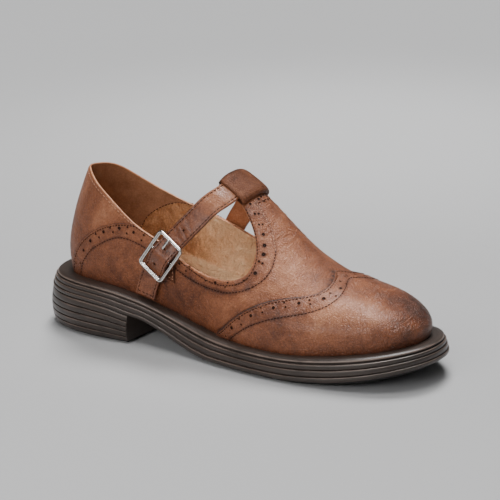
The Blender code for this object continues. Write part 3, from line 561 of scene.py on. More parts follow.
def strap_course():
    """The strap's middle line as curves of its own length share."""
    places = [last_point(s, q) for s, q, lift in STRAP_LINE]
    steps = [float(np.linalg.norm(b - a)) for a, b in zip(places, places[1:])]
    at = np.concatenate([[0.0], np.cumsum(steps)]) / sum(steps)
    return curve([(a, *row) for a, row in zip(at, STRAP_LINE)], ("at", "s", "q", "lift"))


COURSE = strap_course()


def strap_frame(share):
    """Place on the last, and the step in s and q that lies square across the strap, for one metre."""
    step = 1e-3
    s = COURSE["s"](share)
    q = COURSE["q"](share)
    forward = last_point(COURSE["s"](share + step), COURSE["q"](share + step))
    forward -= last_point(COURSE["s"](share - step), COURSE["q"](share - step))
    by_s = (last_point(s + step, q) - last_point(s - step, q)) / (2.0 * step)
    by_q = (last_point(s, q + step) - last_point(s, q - step)) / (2.0 * step)
    normal = np.cross(by_s, by_q)
    across = np.cross(normal, forward)
    across /= np.linalg.norm(across)
    sides = np.linalg.lstsq(np.stack([by_s, by_q], axis=1), across, rcond=None)[0]
    return s, q, sides


def strap_points(share, section):
    """Points of the strap's cross section at one place along it."""
    s, q, sides = strap_frame(share)
    lift = float(COURSE["lift"](share)) * STRAP + GAP
    places = np.array([place for place, height in section]) * STRAP_WIDTH / 2.0
    heights = np.array([height for place, height in section]) * STRAP
    return over_last(s + sides[0] * places, q + sides[1] * places, lift + heights)


def keeper_ring(q, section):
    """Section of the loop at one q: share from its back edge to its front edge, and height over the last."""
    bend = 1.0 - (q / KEEPER_SIDE) ** 2
    back = KEEPER_BACK[0] + (KEEPER_BACK[1] - KEEPER_BACK[0]) * bend
    front = KEEPER_FRONT[0] + (KEEPER_FRONT[1] - KEEPER_FRONT[0]) * bend
    share = np.array([place for place, height in section])
    height = np.array([height for place, height in section])
    return over_last(back + (front - back) * share, np.full(len(section), q), height)


def buckle_axes():
    """Centre on the last, and unit vectors along the strap, across it and out of the shoe."""
    s, q = BUCKLE_AT
    share = np.linspace(0.0, 0.5, 401)
    nearest = share[np.argmin(np.abs(COURSE["q"](share) - q))]
    centre = last_point(s, q)
    forward = last_point(COURSE["s"](nearest + BUCKLE_SPAN), COURSE["q"](nearest + BUCKLE_SPAN))
    forward -= last_point(COURSE["s"](nearest - BUCKLE_SPAN), COURSE["q"](nearest - BUCKLE_SPAN))
    out = over_last(s, q, 1.0) - centre
    forward -= out * (forward @ out)
    forward /= np.linalg.norm(forward)
    return centre, forward, np.cross(out, forward), out


def rounded_rectangle(length, width, radius, parts=3):
    """Plan points of a rectangle with round corners."""
    points = []
    for corner, (sx, sy) in enumerate(((1, 1), (-1, 1), (-1, -1), (1, -1))):
        for k in range(parts + 1):
            turn = (corner + k / parts) * HALF_TURN / 2.0
            points.append((
                sx * (length / 2.0 - radius) + radius * math.cos(turn),
                sy * (width / 2.0 - radius) + radius * math.sin(turn),
            ))
    return points

# Helpers


def unit(v):
    return v / np.maximum(np.linalg.norm(v, axis=-1, keepdims=True), 1e-12)


def ridge(distance, width):
    """1 on a line and falling off beside it; the width is in millimetres."""
    return np.exp(-(distance / (width * MM)) ** 2)


def lengths_along(line):
    """Length from a line's first point to each of its points."""
    return np.concatenate([[0.0], np.cumsum(np.linalg.norm(np.diff(line, axis=0), axis=1))])


def read_line(line, lengths, at):
    """Points of a line at given lengths along it."""
    return np.stack([np.interp(at, lengths, line[:, k]) for k in range(line.shape[1])], axis=1)


def resampled(line, step=0.8 * MM):
    lengths = lengths_along(line)
    return read_line(line, lengths, np.arange(0, lengths[-1], step))


def smooth_line(points, step, parts=24):
    """A polyline through points, rounded by a Catmull-Rom curve and resampled at about one step."""
    points = np.asarray(points, float)
    longer = np.concatenate([[2 * points[0] - points[1]], points, [2 * points[-1] - points[-2]]])
    t = np.linspace(0, 1, parts, endpoint=False)[:, None]
    rows = []
    for a, b, c, d in zip(longer, longer[1:], longer[2:], longer[3:]):
        square = 2 * a - 5 * b + 4 * c - d
        cube = 3 * b - a - 3 * c + d
        rows.append(0.5 * (2 * b + (c - a) * t + square * t**2 + cube * t**3))
    line = np.concatenate(rows + [points[-1:]])
    lengths = lengths_along(line)
    count = max(2, int(round(lengths[-1] / step)) + 1)
    return read_line(line, lengths, np.linspace(0, lengths[-1], count))


def on_last(line):
    return over_last(line[:, 0], line[:, 1], np.zeros(len(line)))


def mirrored(line):
    return [(s, -q) for s, q in line]


def both_sides(line):
    """A line from the outer side to the middle of the shoe, and on over the inner side."""
    return list(line) + mirrored(line[:-1])[::-1]


def last_line(line, step=1.0 * MM):
    """Points on the last of a smooth line through given places."""
    flat = np.asarray(line, float)
    lengths = lengths_along(on_last(flat))
    fine = smooth_line(np.column_stack([lengths, flat]), 0.2 * MM)
    fine = fine[np.argsort(fine[:, 0], kind="stable")]
    return on_last(read_line(fine[:, 1:], fine[:, 0], np.arange(0, lengths[-1], step)))


def distance_to(points, line, part=20000):
    """Distance of each point to a polyline's points, and the index of the nearest."""
    flat = points.reshape(-1, 3)
    best = np.zeros(len(flat))
    which = np.zeros(len(flat), int)
    for start in range(0, len(flat), part):
        few = slice(start, start + part)
        distance = np.linalg.norm(flat[few, None, :] - line[None, :, :], axis=2)
        which[few] = distance.argmin(axis=1)
        best[few] = distance.min(axis=1)
    return best.reshape(points.shape[:-1]), which.reshape(points.shape[:-1])


def nearest_of(points, *lines):
    return np.minimum.reduce([distance_to(points, line)[0] for line in lines])


def lattice(points, cells, seed, size=48, shift=17.3):
    """Smooth random values between -1 and 1 in space, cells metres apart."""
    table = np.random.default_rng(seed).uniform(-1, 1, (size, size, size))
    p = points / cells + shift
    i = np.floor(p).astype(int)
    f = p - i
    f = f * f * (3 - 2 * f)
    total = 0.0
    for corner in itertools.product((0, 1), repeat=3):
        x, y, z = np.moveaxis((i + corner) % size, -1, 0)
        total = total + np.prod(np.where(corner, f, 1 - f), axis=-1) * table[x, y, z]
    return total


def uneven(points, distance, waves):
    """Slow unevenness: each wave has a height in mm, a size in m, a seed, and the mm over which it grows."""
    total = 0.0
    for height, size, seed, growth in waves:
        total = total + height * MM * lattice(points, size, seed) * ease(distance / (growth * MM))
    return total


def tucked(row, normals, down=1.6 * MM, inwards=0.4 * MM):
    """A row of the leather's lower edge, drawn down into the crease above the sole."""
    foot = row - normals * inwards
    foot[:, 2] -= down
    return foot[None]


def build(name, points, faces, materials, face_slots=None, slot=None, replaces=(), sharp=None, **values):
    """A piece that rides on the shoe's one body; values holds numbers for each point, such as its tone."""
    mesh = bpy.data.meshes.new(name)
    places = np.asarray(points, float).reshape(-1, 3)
    mesh.from_pydata(places.tolist(), [], [tuple(map(int, f)) for f in faces])
    for material in materials if isinstance(materials, list) else [materials]:
        mesh.materials.append(material)
    if face_slots is not None:
        mesh.polygons.foreach_set("material_index", np.asarray(face_slots, np.int32))
    for label, numbers in values.items():
        layer = mesh.attributes.new(label, "FLOAT", "POINT")
        layer.data.foreach_set("value", np.asarray(numbers, np.float32).reshape(-1))
    mesh.validate()
    mesh.shade_smooth()
    if sharp is not None:
        mesh.set_sharp_from_angle(angle=math.radians(sharp))
    piece = bpy.data.objects.new(name, mesh)
    bpy.context.scene.collection.objects.link(piece)
    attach(piece, "root")
    if replaces:
        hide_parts(*replaces)
    return piece


class Heap:
    """Many small solids gathered into one piece."""

    def __init__(self):
        self.points = []
        self.faces = []
        self.count = 0

    def add(self, points, faces):
        self.points.append(np.asarray(points, float).reshape(-1, 3))
        self.faces += [tuple(int(k) + self.count for k in f) for f in faces]
        self.count += len(self.points[-1])

    def parts(self):
        return np.concatenate(self.points), self.faces


def end_caps(rows, count):
    """The two end faces of a closed tube of points."""
    return [tuple(range(count))[::-1], tuple((rows - 1) * count + k for k in range(count))]


def tube(line, radii, sides, up, flat=1.0):
    """Points and faces of a tube along a line; flat squashes it along its up direction."""
    tangent = unit(np.gradient(line, axis=0))
    side = unit(np.cross(tangent, np.tile(up, (len(line), 1))))
    top = np.cross(side, tangent)
    radii = np.broadcast_to(np.asarray(radii, float), (len(line),))
    turns = 2 * np.pi * np.arange(sides) / sides
    ring = side[:, None, :] * np.cos(turns)[None, :, None]
    ring = ring + top[:, None, :] * (np.sin(turns) * flat)[None, :, None]
    points = line[:, None, :] + ring * radii[:, None, None]
    return points, grid_faces(len(line), sides, closed_columns=True) + end_caps(len(line), sides)


# Materials


class Look:
    """A material, and short ways to add the nodes that it needs."""

    def __init__(self, name):
        self.material = bpy.data.materials.new(name)
        self.material.use_nodes = True
        self.tree = self.material.node_tree
        self.shader = self.tree.nodes["Principled BSDF"]

    def put(self, target, **inputs):
        """Sets a node's inputs, each to a plain value or to another node's output."""
        for key, value in inputs.items():
            socket = target.inputs[key.replace("_", " ")]
            if isinstance(value, bpy.types.NodeSocket):
                self.tree.links.new(value, socket)
            else:
                socket.default_value = value

    def node(self, kind, settings=None, **inputs):
        made = self.tree.nodes.new("ShaderNode" + kind)
        for key, value in (settings or {}).items():
            setattr(made, key, value)
        self.put(made, **inputs)
        return made

    def shade(self, **inputs):
        self.put(self.shader, **inputs)

    def maths(self, operation, *values):
        made = self.node("Math", {"operation": operation})
        for socket, value in zip(made.inputs, values):
            if isinstance(value, bpy.types.NodeSocket):
                self.tree.links.new(value, socket)
            else:
                socket.default_value = value
        return made.outputs[0]

    def blend(self, first, second, share):
        """Two values added, the first by a share and the second by the rest."""
        rest = self.maths("MULTIPLY", second, 1.0 - share)
        return self.maths("ADD", self.maths("MULTIPLY", first, share), rest)

    def attribute(self, name):
        return self.node("Attribute", {"attribute_name": name}).outputs["Fac"]

    def place(self, stretch=(1.0, 1.0, 1.0), turn=(0.0, 0.0, 0.0)):
        where = self.node("TexCoord").outputs["Object"]
        return self.node("Mapping", Vector=where, Scale=stretch, Rotation=turn).outputs[0]

    def noise(self, where, scale, detail, rough=0.6, distortion=0.0):
        made = self.node("TexNoise", Vector=where, Scale=scale, Detail=detail, Roughness=rough,
                         Distortion=distortion)
        return made.outputs[0]

    def ramp(self, value, stops):
        made = self.node("ValToRGB", Fac=value)
        band = made.color_ramp
        band.interpolation = "B_SPLINE" if len(stops) > 3 else "LINEAR"
        while len(band.elements) < len(stops):
            band.elements.new(0.5)
        for element, (at, colour) in zip(band.elements, stops):
            element.position = at
            element.color = (*colour, 1.0)
        return made.outputs[0]

    def between(self, value, low, high):
        return self.node("MapRange", Value=value, To_Min=low, To_Max=high).outputs[0]

    def bumped(self, *layers):
        """Chained bump nodes: each layer is a height, a strength and a distance in metres."""
        under = {}
        for height, strength, distance in layers:
            made = self.node("Bump", Height=height, Strength=strength, Distance=distance, **under)
            under = {"Normal": made.outputs[0]}
        self.shade(**under)

    def wobbled(self, where, scale, amount):
        """Coordinates pushed about by a noise, so that cells and lines lose their regular look."""
        swirl = self.node("TexNoise", Vector=where, Scale=scale, Detail=3.0)
        pushed = self.node("VectorMath", {"operation": "MULTIPLY_ADD"})
        pushed.inputs[1].default_value = (amount,) * 3
        self.tree.links.new(swirl.outputs["Color"], pushed.inputs[0])
        self.tree.links.new(where, pushed.inputs[2])
        return pushed.outputs[0]

    def cracks(self, where, scale, width):
        """Height of fine wrinkle cells: 0 in the lines between them, 1 on them."""
        made = self.node("TexVoronoi", {"feature": "DISTANCE_TO_EDGE"}, Vector=where, Scale=scale)
        kept = self.node("MapRange", {"interpolation_type": "SMOOTHSTEP"}, From_Max=width,
                         Value=made.outputs["Distance"])
        return kept.outputs[0]


def leather(name, stops, patches=30.0, contrast=1.0, rough=(0.34, 0.50), grain=0.10, coat=0.04,
            creased=0.80, wrinkled=1.00, wrinkles=640.0, shine=0.34, veined=0.10, folds=170.0,
            depth=0.0016, seed=0.0):
    """Burnished leather: cloudy patches, dark and light after the piece's tone, wrinkles, pores and folds.

    patches, wrinkles and folds are the scales of the patterns; contrast and veined say how much patches and
    wrinkles colour the leather; grain, creased and wrinkled are strengths of its relief, depth its folds'.
    """
    look = Look(name)
    where = look.place(turn=(seed, seed * 0.7, seed * 0.3))
    broad = look.noise(where, patches, 6.0, 0.60, 0.8)
    small = look.noise(where, patches * 5.5, 6.0, 0.65, 0.4)
    speck = look.noise(where, patches * 26.0, 3.0)
    lines = look.cracks(look.wobbled(where, 300.0, 0.0022), wrinkles, 0.22)
    total = look.attribute("tone")
    for part, weight, middle in ((broad, contrast, 0.5), (small, 0.50, 0.5), (speck, 0.36, 0.5),
                                 (lines, veined, 0.75)):
        total = look.maths("ADD", total, look.maths("MULTIPLY_ADD", part, weight, -middle * weight))
    uneven_shine = look.between(look.blend(small, speck, 0.7), *rough)
    look.shade(Base_Color=look.ramp(total, stops), Roughness=uneven_shine, Specular_IOR_Level=shine,
               Coat_Weight=coat, Coat_Roughness=0.20)
    pores = look.node("TexVoronoi", Vector=where, Scale=950.0).outputs["Distance"]
    fine = look.noise(where, 2600.0, 3.0)
    fold = look.noise(look.place((1.0, 0.35, 0.8), (0.3, 0.2, 0.5)), folds, 5.0, 0.62, 1.6)
    look.bumped((fold, creased, depth), (lines, wrinkled, 0.00018), (pores, grain, 0.00012),
                (fine, grain, 0.00004))
    return look.material


def rubber(name, dark, light, rough, streaks):
    """Moulded rubber with faint streaks that run along the sole, and a painted highlight along marked edges.
    """
    look = Look(name)
    joined = look.node("CombineXYZ", X=look.maths("MULTIPLY", look.attribute("run"), 14.0),
                       Y=look.maths("MULTIPLY", look.attribute("climb"), 1500.0))
    streak = look.noise(joined.outputs[0], 1.0, 5.0, 0.65, 0.3)
    where = look.place()
    cloud = look.noise(where, 60.0, 5.0)
    fine = look.noise(where, 1800.0, 3.0)
    mixed = look.blend(streak, cloud, 0.6)
    # painted highlight along the marked edges
    painted_glint = look.maths("MULTIPLY", look.maths("MULTIPLY", look.attribute("worn"), cloud), 0.9)
    stops = ((0.30, dark), (0.66, light), (1.0, tuple(3.2 * c for c in light)))
    look.shade(Base_Color=look.ramp(look.maths("ADD", mixed, painted_glint), stops),
               Roughness=look.between(mixed, *rough), Specular_IOR_Level=0.5)
    look.bumped((streak, streaks, 0.00018), (fine, 0.25, 0.00005))
    return look.material


def metal(name):
    """Polished nickel with a little haze and fine scratches."""
    look = Look(name)
    haze = look.noise(look.place(), 260.0, 5.0)
    scratch = look.noise(look.place(stretch=(1.0, 9.0, 1.0)), 900.0, 3.0)
    stops = ((0.3, (0.62, 0.60, 0.57)), (0.7, (0.74, 0.72, 0.69)))
    look.shade(Metallic=1.0, Base_Color=look.ramp(haze, stops), Roughness=look.between(haze, 0.13, 0.22))
    look.bumped((scratch, 0.05, 0.00001))
    return look.material


def thread(name, dark, light):
    """Waxed thread, also used for the painted shade inside a pinhole."""
    look = Look(name)
    ply = look.noise(look.place(), 2200.0, 3.0)
    look.shade(Base_Color=look.ramp(ply, ((0.3, dark), (0.7, light))), Roughness=0.8, Specular_IOR_Level=0.12)
    look.bumped((ply, 0.4, 0.0001))
    return look.material


def matt(name, colour, rough):
    """An even, matt surface with faint clouds."""
    look = Look(name)
    stops = ((0.3, tuple(c * 0.985 for c in colour)), (0.7, colour))
    look.shade(Base_Color=look.ramp(look.noise(look.place(), 3.0, 3.0, 0.5), stops), Roughness=rough,
               Specular_IOR_Level=0.15)
    return look.material


BROWN = (
    (0.02, (0.030, 0.010, 0.006)),
    (0.24, (0.110, 0.032, 0.013)),
    (0.50, (0.245, 0.078, 0.031)),
    (0.74, (0.380, 0.142, 0.062)),
    (1.00, (0.580, 0.280, 0.155)),
)
DARK_BROWN = (
    (0.02, (0.022, 0.008, 0.004)),
    (0.30, (0.078, 0.026, 0.012)),
    (0.55, (0.160, 0.057, 0.027)),
    (0.80, (0.260, 0.106, 0.054)),
    (1.00, (0.400, 0.190, 0.110)),
)
LINING = (
    (0.02, (0.200, 0.062, 0.022)),
    (0.27, (0.360, 0.142, 0.052)),
    (0.50, (0.640, 0.330, 0.155)),
    (0.74, (0.900, 0.540, 0.300)),
    (1.00, (0.990, 0.740, 0.480)),
)
TAN = (
    (0.02, (0.400, 0.220, 0.120)),
    (0.27, (0.600, 0.370, 0.220)),
    (0.50, (0.780, 0.530, 0.350)),
    (0.74, (0.860, 0.630, 0.450)),
    (1.00, (0.900, 0.700, 0.530)),
)
SUEDE = (
    (0.02, (0.165, 0.072, 0.036)),
    (0.27, (0.240, 0.110, 0.057)),
    (0.50, (0.320, 0.155, 0.084)),
    (0.74, (0.400, 0.203, 0.115)),
    (1.00, (0.560, 0.310, 0.190)),
)
EDGE = (
    (0.02, (0.200, 0.075, 0.035)),
    (0.30, (0.360, 0.140, 0.068)),
    (0.50, (0.520, 0.225, 0.110)),
    (0.75, (0.640, 0.310, 0.165)),
    (1.00, (0.740, 0.410, 0.240)),
)

upper_leather = leather("upper_leather", BROWN)
cap_leather = leather("cap_leather", BROWN, seed=1.1, patches=34.0, rough=(0.26, 0.42), coat=0.10,
                      wrinkles=600.0, shine=0.42)
strap_leather = leather("strap_leather", BROWN, seed=2.3, patches=40.0, contrast=0.7, creased=0.20,
                        rough=(0.26, 0.42), coat=0.12, wrinkled=0.5, shine=0.40)
loop_leather = leather("loop_leather", DARK_BROWN, seed=3.7, patches=46.0, coat=0.0, creased=0.15,
                       contrast=1.2, rough=(0.42, 0.60), shine=0.12)
edge_leather = leather("edge_leather", EDGE, seed=0.4, patches=60.0, contrast=0.8, coat=0.0, creased=0.05,
                       wrinkled=0.1, shine=0.3)
lining = leather("vamp_lining", LINING, seed=5.1, veined=0.05, patches=34.0, contrast=0.7, coat=0.0,
                 creased=1.0, folds=300.0, depth=0.0035, wrinkled=0.8, wrinkles=420.0)
heel_lining = leather("heel_lining", SUEDE, seed=6.4, contrast=0.7, rough=(0.75, 0.95), grain=0.7, coat=0.0,
                      creased=0.2, wrinkled=0.1, shine=0.2)
sock = leather("sock_lining", TAN, seed=7.7, veined=0.2, patches=26.0, contrast=0.5, rough=(0.36, 0.50),
               coat=0.05, creased=0.3, wrinkled=0.5, wrinkles=300.0)
sole_rubber = rubber("sole_rubber", (0.022, 0.0150, 0.0120), (0.054, 0.0385, 0.0310), (0.24, 0.42), 0.5)
tread_rubber = rubber("tread_rubber", (0.010, 0.009, 0.009), (0.024, 0.022, 0.021), (0.55, 0.75), 0.2)
nickel = metal("polished_nickel")
dark_thread = thread("dark_thread", (0.014, 0.005, 0.003), (0.050, 0.019, 0.011))
light_thread = thread("light_thread", (0.36, 0.17, 0.10), (0.60, 0.34, 0.22))
hole_dark = thread("hole_shade", (0.010, 0.0035, 0.002), (0.026, 0.010, 0.006))

# Lines on the leather, s and q

# the stitched line outside the punched band round the throat, from the outer side's buckle to the T bar's end
THROAT_LINE = (
    (0.345, -0.806), (0.372, -0.815), (0.399, -0.819), (0.431, -0.816), (0.463, -0.809), (0.501, -0.792),
    (0.541, -0.762), (0.581, -0.704), (0.611, -0.626), (0.629, -0.546), (0.637, -0.462), (0.635, -0.386),
    (0.627, -0.310), (0.611, -0.253), (0.595, -0.203), (0.573, -0.170), (0.553, -0.147), (0.537, -0.134),
)
THROAT_LINE_INNER = (
    (0.330, 0.786), (0.365, 0.776), (0.399, 0.771), (0.431, 0.770), (0.463, 0.767), (0.501, 0.755),
    (0.541, 0.728), (0.577, 0.676), (0.605, 0.606), (0.622, 0.530), (0.630, 0.455), (0.629, 0.384),
    (0.622, 0.312), (0.608, 0.256), (0.593, 0.205), (0.572, 0.171), (0.552, 0.148), (0.537, 0.134),
)
WING_STITCH = (
    (0.562, -0.995), (0.591, -0.931), (0.635, -0.842), (0.689, -0.743), (0.737, -0.659), (0.781, -0.557),
    (0.807, -0.437), (0.815, -0.306), (0.808, -0.169), (0.792, -0.040), (0.790, 0.0),
)
ARCH_STITCH = (
    (0.088, -0.995), (0.100, -0.943), (0.114, -0.910), (0.134, -0.873), (0.160, -0.846), (0.186, -0.823),
    (0.210, -0.809), (0.238, -0.804), (0.266, -0.806), (0.298, -0.811), (0.330, -0.812),
)
LINING_SEAM = (
    (0.100, 0.992), (0.104, 0.883), (0.122, 0.826), (0.156, 0.786), (0.196, 0.759), (0.244, 0.742),
    (0.285, 0.735),
)

# The upper: its rows lie at these distances below the mouth in millimetres, then evenly, close ones first
ROW_STEPS = (
    0, 0.3, 0.7, 1.1, 1.6, 2.2, 2.8, 3.5, 4.4, 5.5, 6.8, 8.2, 9.4, 10.3, 10.9, 11.3, 11.7, 12.3, 13.2,
)
NEAR_ROWS = 36
NEAR_REACH = 26.0
LOWER_ROWS = 42
MOUTH_COLUMNS = 470
STEP_COLUMNS = (0.08, 0.25, 0.45, 0.7, 1.1, 1.7)   # more columns on each side of the step along the arch
STEP_CLEAR = 2.1                                   # the even columns stay this far away from it
MOUTH_STITCH = 2.3
BAND = 11.2               # width of the punched band round the throat
RIM_ROWS = 7


def skin(at, rise):
    return last_point(*pattern_point(at, np.clip(rise, 0.0, 1.0)))


def dressed_columns():
    middle = len(MOUTH_OUTER) - 1
    inner_arch = KNOTS[middle - ARCH_ROW] - STEP_WIDTH * LOOP / 2
    outer_arch = KNOTS[middle + ARCH_ROW] + STEP_WIDTH * LOOP / 2
    beside = np.array([-a for a in STEP_COLUMNS[::-1]] + list(STEP_COLUMNS)) * MM
    even = np.linspace(0, LOOP, MOUTH_COLUMNS, endpoint=False)
    kept = [a for a in even if min(abs(a - inner_arch), abs(a - outer_arch)) > STEP_CLEAR * MM]
    kept += list(inner_arch + beside) + list(outer_arch + beside)
    return np.array(sorted(kept)), inner_arch, outer_arch


COLUMNS, INNER_ARCH, OUTER_ARCH = dressed_columns()


def dressed_rows():
    """For every column: the rise of each row and its distance down from the mouth."""
    fine = np.linspace(0.0, 1.0, 101)
    at, rise = np.meshgrid(COLUMNS, fine, indexing="ij")
    steps = np.linalg.norm(np.diff(skin(at, rise), axis=1), axis=2)
    down = np.concatenate([np.zeros((len(COLUMNS), 1)), np.cumsum(steps[:, ::-1], axis=1)], axis=1)
    first = np.array(ROW_STEPS) * MM
    rises, distances = [], []
    for column in down:
        turn = first[-1] + min(NEAR_REACH * MM, 0.5 * (column[-1] - first[-1]))
        near = np.linspace(first[-1], turn, NEAR_ROWS + 1)[1:]
        rest = np.linspace(turn, column[-1], LOWER_ROWS + 1)[1:]
        wanted = np.concatenate([first, near, rest])
        distances.append(wanted)
        rises.append(np.interp(wanted, column, fine[::-1]))
    return np.array(rises).T, np.array(distances).T


RISES, DOWNS = dressed_rows()
PLACES = np.broadcast_to(COLUMNS[None, :], RISES.shape)
AT_S, AT_Q = pattern_point(PLACES, RISES)
ON_LAST = skin(PLACES, RISES)
NORMALS = unit(lifted(skin, PLACES, RISES, np.full(RISES.shape, MM)) - ON_LAST)
# rows of the inside, from the sole up: every third, and every second near the mouth
LINING_ROWS = sorted({*range(len(RISES) - 1, 18, -3), *range(18, -1, -2)}, reverse=True)

WHOLE_WING_STITCH = both_sides(WING_STITCH)
WHOLE_WING_EDGE = both_sides(mirrored(WING))
wing_edge = last_line(WHOLE_WING_EDGE)
TO_STEP = np.minimum(np.abs(PLACES - INNER_ARCH), np.abs(PLACES - OUTER_ARCH))
HAS_EDGE = np.where(PLACES > KNOTS[-1] + MM, 0.0, 1.0)   # not at the T bar's end under the loop
IN_BAND = HAS_EDGE * ease((AT_S - 0.33) / 0.05)
IN_BAND = IN_BAND * np.clip((DOWNS - MOUTH_STITCH * MM) / ((BAND - MOUTH_STITCH) * MM), 0.0, 1.0)
# the lines that draw the leather in: distance from each, depth and width of its groove in millimetres, and
# the tone's fall along it with its width: painted shade in the groove, and along the cap's edge the painted
# shadow under that edge
GROOVES = (
    (DOWNS - MOUTH_STITCH * MM, 0.13 * HAS_EDGE, 0.6, 0.12 * HAS_EDGE, 0.9),
    (nearest_of(ON_LAST, last_line(THROAT_LINE), last_line(THROAT_LINE_INNER)), 0.17, 0.7, 0.26, 1.0),
    (nearest_of(ON_LAST, last_line(ARCH_STITCH), last_line(mirrored(ARCH_STITCH))), 0.14, 0.6, 0.22, 0.8),
    (nearest_of(ON_LAST, wing_edge), 0.25, 1.6, 0.55, 0.9),
)
UPPER_WAVES = ((0.30, 0.024, 3, 16), (0.10, 0.009, 5, 13))

# creases: places in s and q, depth and width in millimetres; a positive depth is a fold that stands up
CREASES = (
    (((0.606, -0.275), (0.614, -0.210), (0.619, -0.120), (0.619, -0.060), (0.627, 0.040), (0.632, 0.120)),
     0.28, 0.8),
    (((0.610, -0.270), (0.619, -0.215), (0.626, -0.130), (0.629, -0.050)), -0.26, 0.6),
    (((0.618, -0.300), (0.627, -0.240), (0.634, -0.160), (0.637, -0.050), (0.636, 0.075), (0.642, 0.150)),
     0.30, 0.8),
    (((0.630, -0.270), (0.637, -0.220), (0.642, -0.130), (0.643, 0.010), (0.648, 0.130)), -0.30, 0.7),
    (((0.640, -0.300), (0.652, -0.245), (0.660, -0.180), (0.661, -0.110), (0.660, -0.030)), 0.16, 0.7),
    (((0.668, -0.250), (0.680, -0.170), (0.678, -0.080)), -0.14, 0.6),
    (((0.596, -0.290), (0.608, -0.235), (0.612, -0.170), (0.611, -0.090)), -0.18, 0.5),
    (((0.645, -0.200), (0.651, -0.120), (0.654, -0.010), (0.660, 0.090)), -0.20, 0.5),
    (((0.655, -0.620), (0.662, -0.560), (0.664, -0.500), (0.676, -0.440)), -0.10, 0.6),
    (((0.690, -0.520), (0.700, -0.450), (0.716, -0.400)), -0.10, 0.6),
    (((0.626, -0.376), (0.646, -0.334), (0.657, -0.236), (0.661, -0.182)), -0.20, 0.6),
    (((0.633, -0.424), (0.644, -0.376), (0.655, -0.332), (0.677, -0.336), (0.700, -0.300)), -0.18, 0.6),
    (((0.640, -0.450), (0.655, -0.400), (0.668, -0.370), (0.690, -0.370)), 0.16, 0.8),
    (((0.594, -0.225), (0.598, -0.180), (0.597, -0.120)), -0.20, 0.6),
    (((0.620, 0.300), (0.630, 0.220), (0.634, 0.140)), 0.26, 0.9),
    (((0.612, 0.290), (0.622, 0.210), (0.627, 0.130)), -0.22, 0.7),
    (((0.640, 0.330), (0.650, 0.240), (0.652, 0.150)), -0.20, 0.7),
    (((0.660, -0.560), (0.672, -0.500), (0.690, -0.460)), -0.10, 0.8),
    (((0.470, -0.930), (0.490, -0.880), (0.520, -0.850)), 0.14, 1.1),
    (((0.150, -0.940), (0.200, -0.920), (0.250, -0.930)), 0.12, 1.2),
)
# spots of darker or lighter leather: s, q, radius in millimetres and the change of tone; the two strongest
# light ones, on the outer side's vamp between the throat and the wing, are painted highlights
TONE_AND_HIGHLIGHT_SPOTS = (
    (0.665, -0.38, 18, 0.26), (0.69, -0.46, 12, 0.10), (0.60, 0.05, 16, 0.02), (0.55, -0.92, 14, -0.10),
    (0.42, -0.93, 15, -0.08), (0.30, -0.90, 16, 0.02), (0.22, -0.92, 12, -0.10), (0.10, -0.66, 18, 0.08),
    (0.17, -0.70, 12, 0.06), (0.02, -0.60, 16, 0.00), (0.36, -0.95, 10, -0.12), (0.48, -0.90, 12, 0.03),
    (0.70, -0.60, 12, 0.10), (0.58, -0.82, 12, 0.00), (0.45, 0.92, 18, -0.06), (0.25, 0.90, 18, 0.05),
    (0.62, 0.60, 20, 0.06), (0.624, -0.70, 9, 0.18), (0.70, -0.20, 10, 0.06), (0.58, -0.02, 8, -0.06),
)


def spotted(points, spots):
    total = np.zeros(points.shape[:-1])
    for s, q, radius, change in spots:
        total += change * ridge(np.linalg.norm(points - last_point(s, q), axis=-1), radius)
    return total


def creased(points, creases):
    total = np.zeros(points.shape[:-1])
    for line, depth, width in creases:
        course = last_line(line, 0.7 * MM)
        distance, which = distance_to(points, course)
        fade = np.sin(np.pi * np.clip((which + 0.5) / len(course), 0.02, 0.98)) ** 0.7
        total += depth * MM * fade * (ridge(distance, width) - 0.35 * ridge(distance, 2.4 * width))
    return total


def upper_outside():
    """The outer leather with its grooves, creases and unevenness, and the step along the arch."""
    raised = ease((INNER_ARCH - PLACES) / (0.5 * MM) + 0.5) + ease((PLACES - OUTER_ARCH) / (0.5 * MM) + 0.5)
    level = -PANEL * (1.0 - raised) - sunk(AT_S)
    level = level - 0.30 * MM * HAS_EDGE * np.clip(1.0 - DOWNS / (1.3 * MM), 0.0, 1.0) ** 2
    for distance, depth, width, groove_shade, spread in GROOVES:
        level = level - depth * MM * ridge(distance, width)
    level = level + 0.34 * MM * np.sin(np.pi * IN_BAND)
    level = level + uneven(ON_LAST, DOWNS, UPPER_WAVES) + creased(ON_LAST, CREASES)
    outer = ON_LAST + NORMALS * level[..., None]
    return np.concatenate([outer, tucked(outer[-1], NORMALS[-1])])


def upper_inside():
    at = ON_LAST[LINING_ROWS]
    soft = 0.25 * MM * lattice(at, 0.012, 9) + 0.20 * MM * lattice(at * np.array([1.0, 1.0, 2.2]), 0.0055, 11)
    level = np.minimum(soft, 0.35 * MM) * ease(DOWNS[LINING_ROWS] / (10 * MM))
    level = level - WALL - sunk(AT_S[LINING_ROWS])
    return at + NORMALS[LINING_ROWS] * level[..., None]


def mouth_rim(outer):
    """The folded edge at the mouth, from the inside to the outside."""
    inside = -WALL - sunk(AT_S[0])
    thickness = ((outer[0] - ON_LAST[0]) * NORMALS[0]).sum(axis=1) - inside
    way_up = unit(skin(COLUMNS, np.ones(len(COLUMNS))) - skin(COLUMNS, np.full(len(COLUMNS), 0.985)))
    rows = []
    for k in range(1, RIM_ROWS + 1):
        turn = math.pi * k / (RIM_ROWS + 1)
        height = inside + thickness * (1 - math.cos(turn)) / 2
        rise = 0.55 * thickness * math.sin(turn)
        rows.append(ON_LAST[0] + NORMALS[0] * height[:, None] + way_up * rise[:, None])
    return np.array(rows)


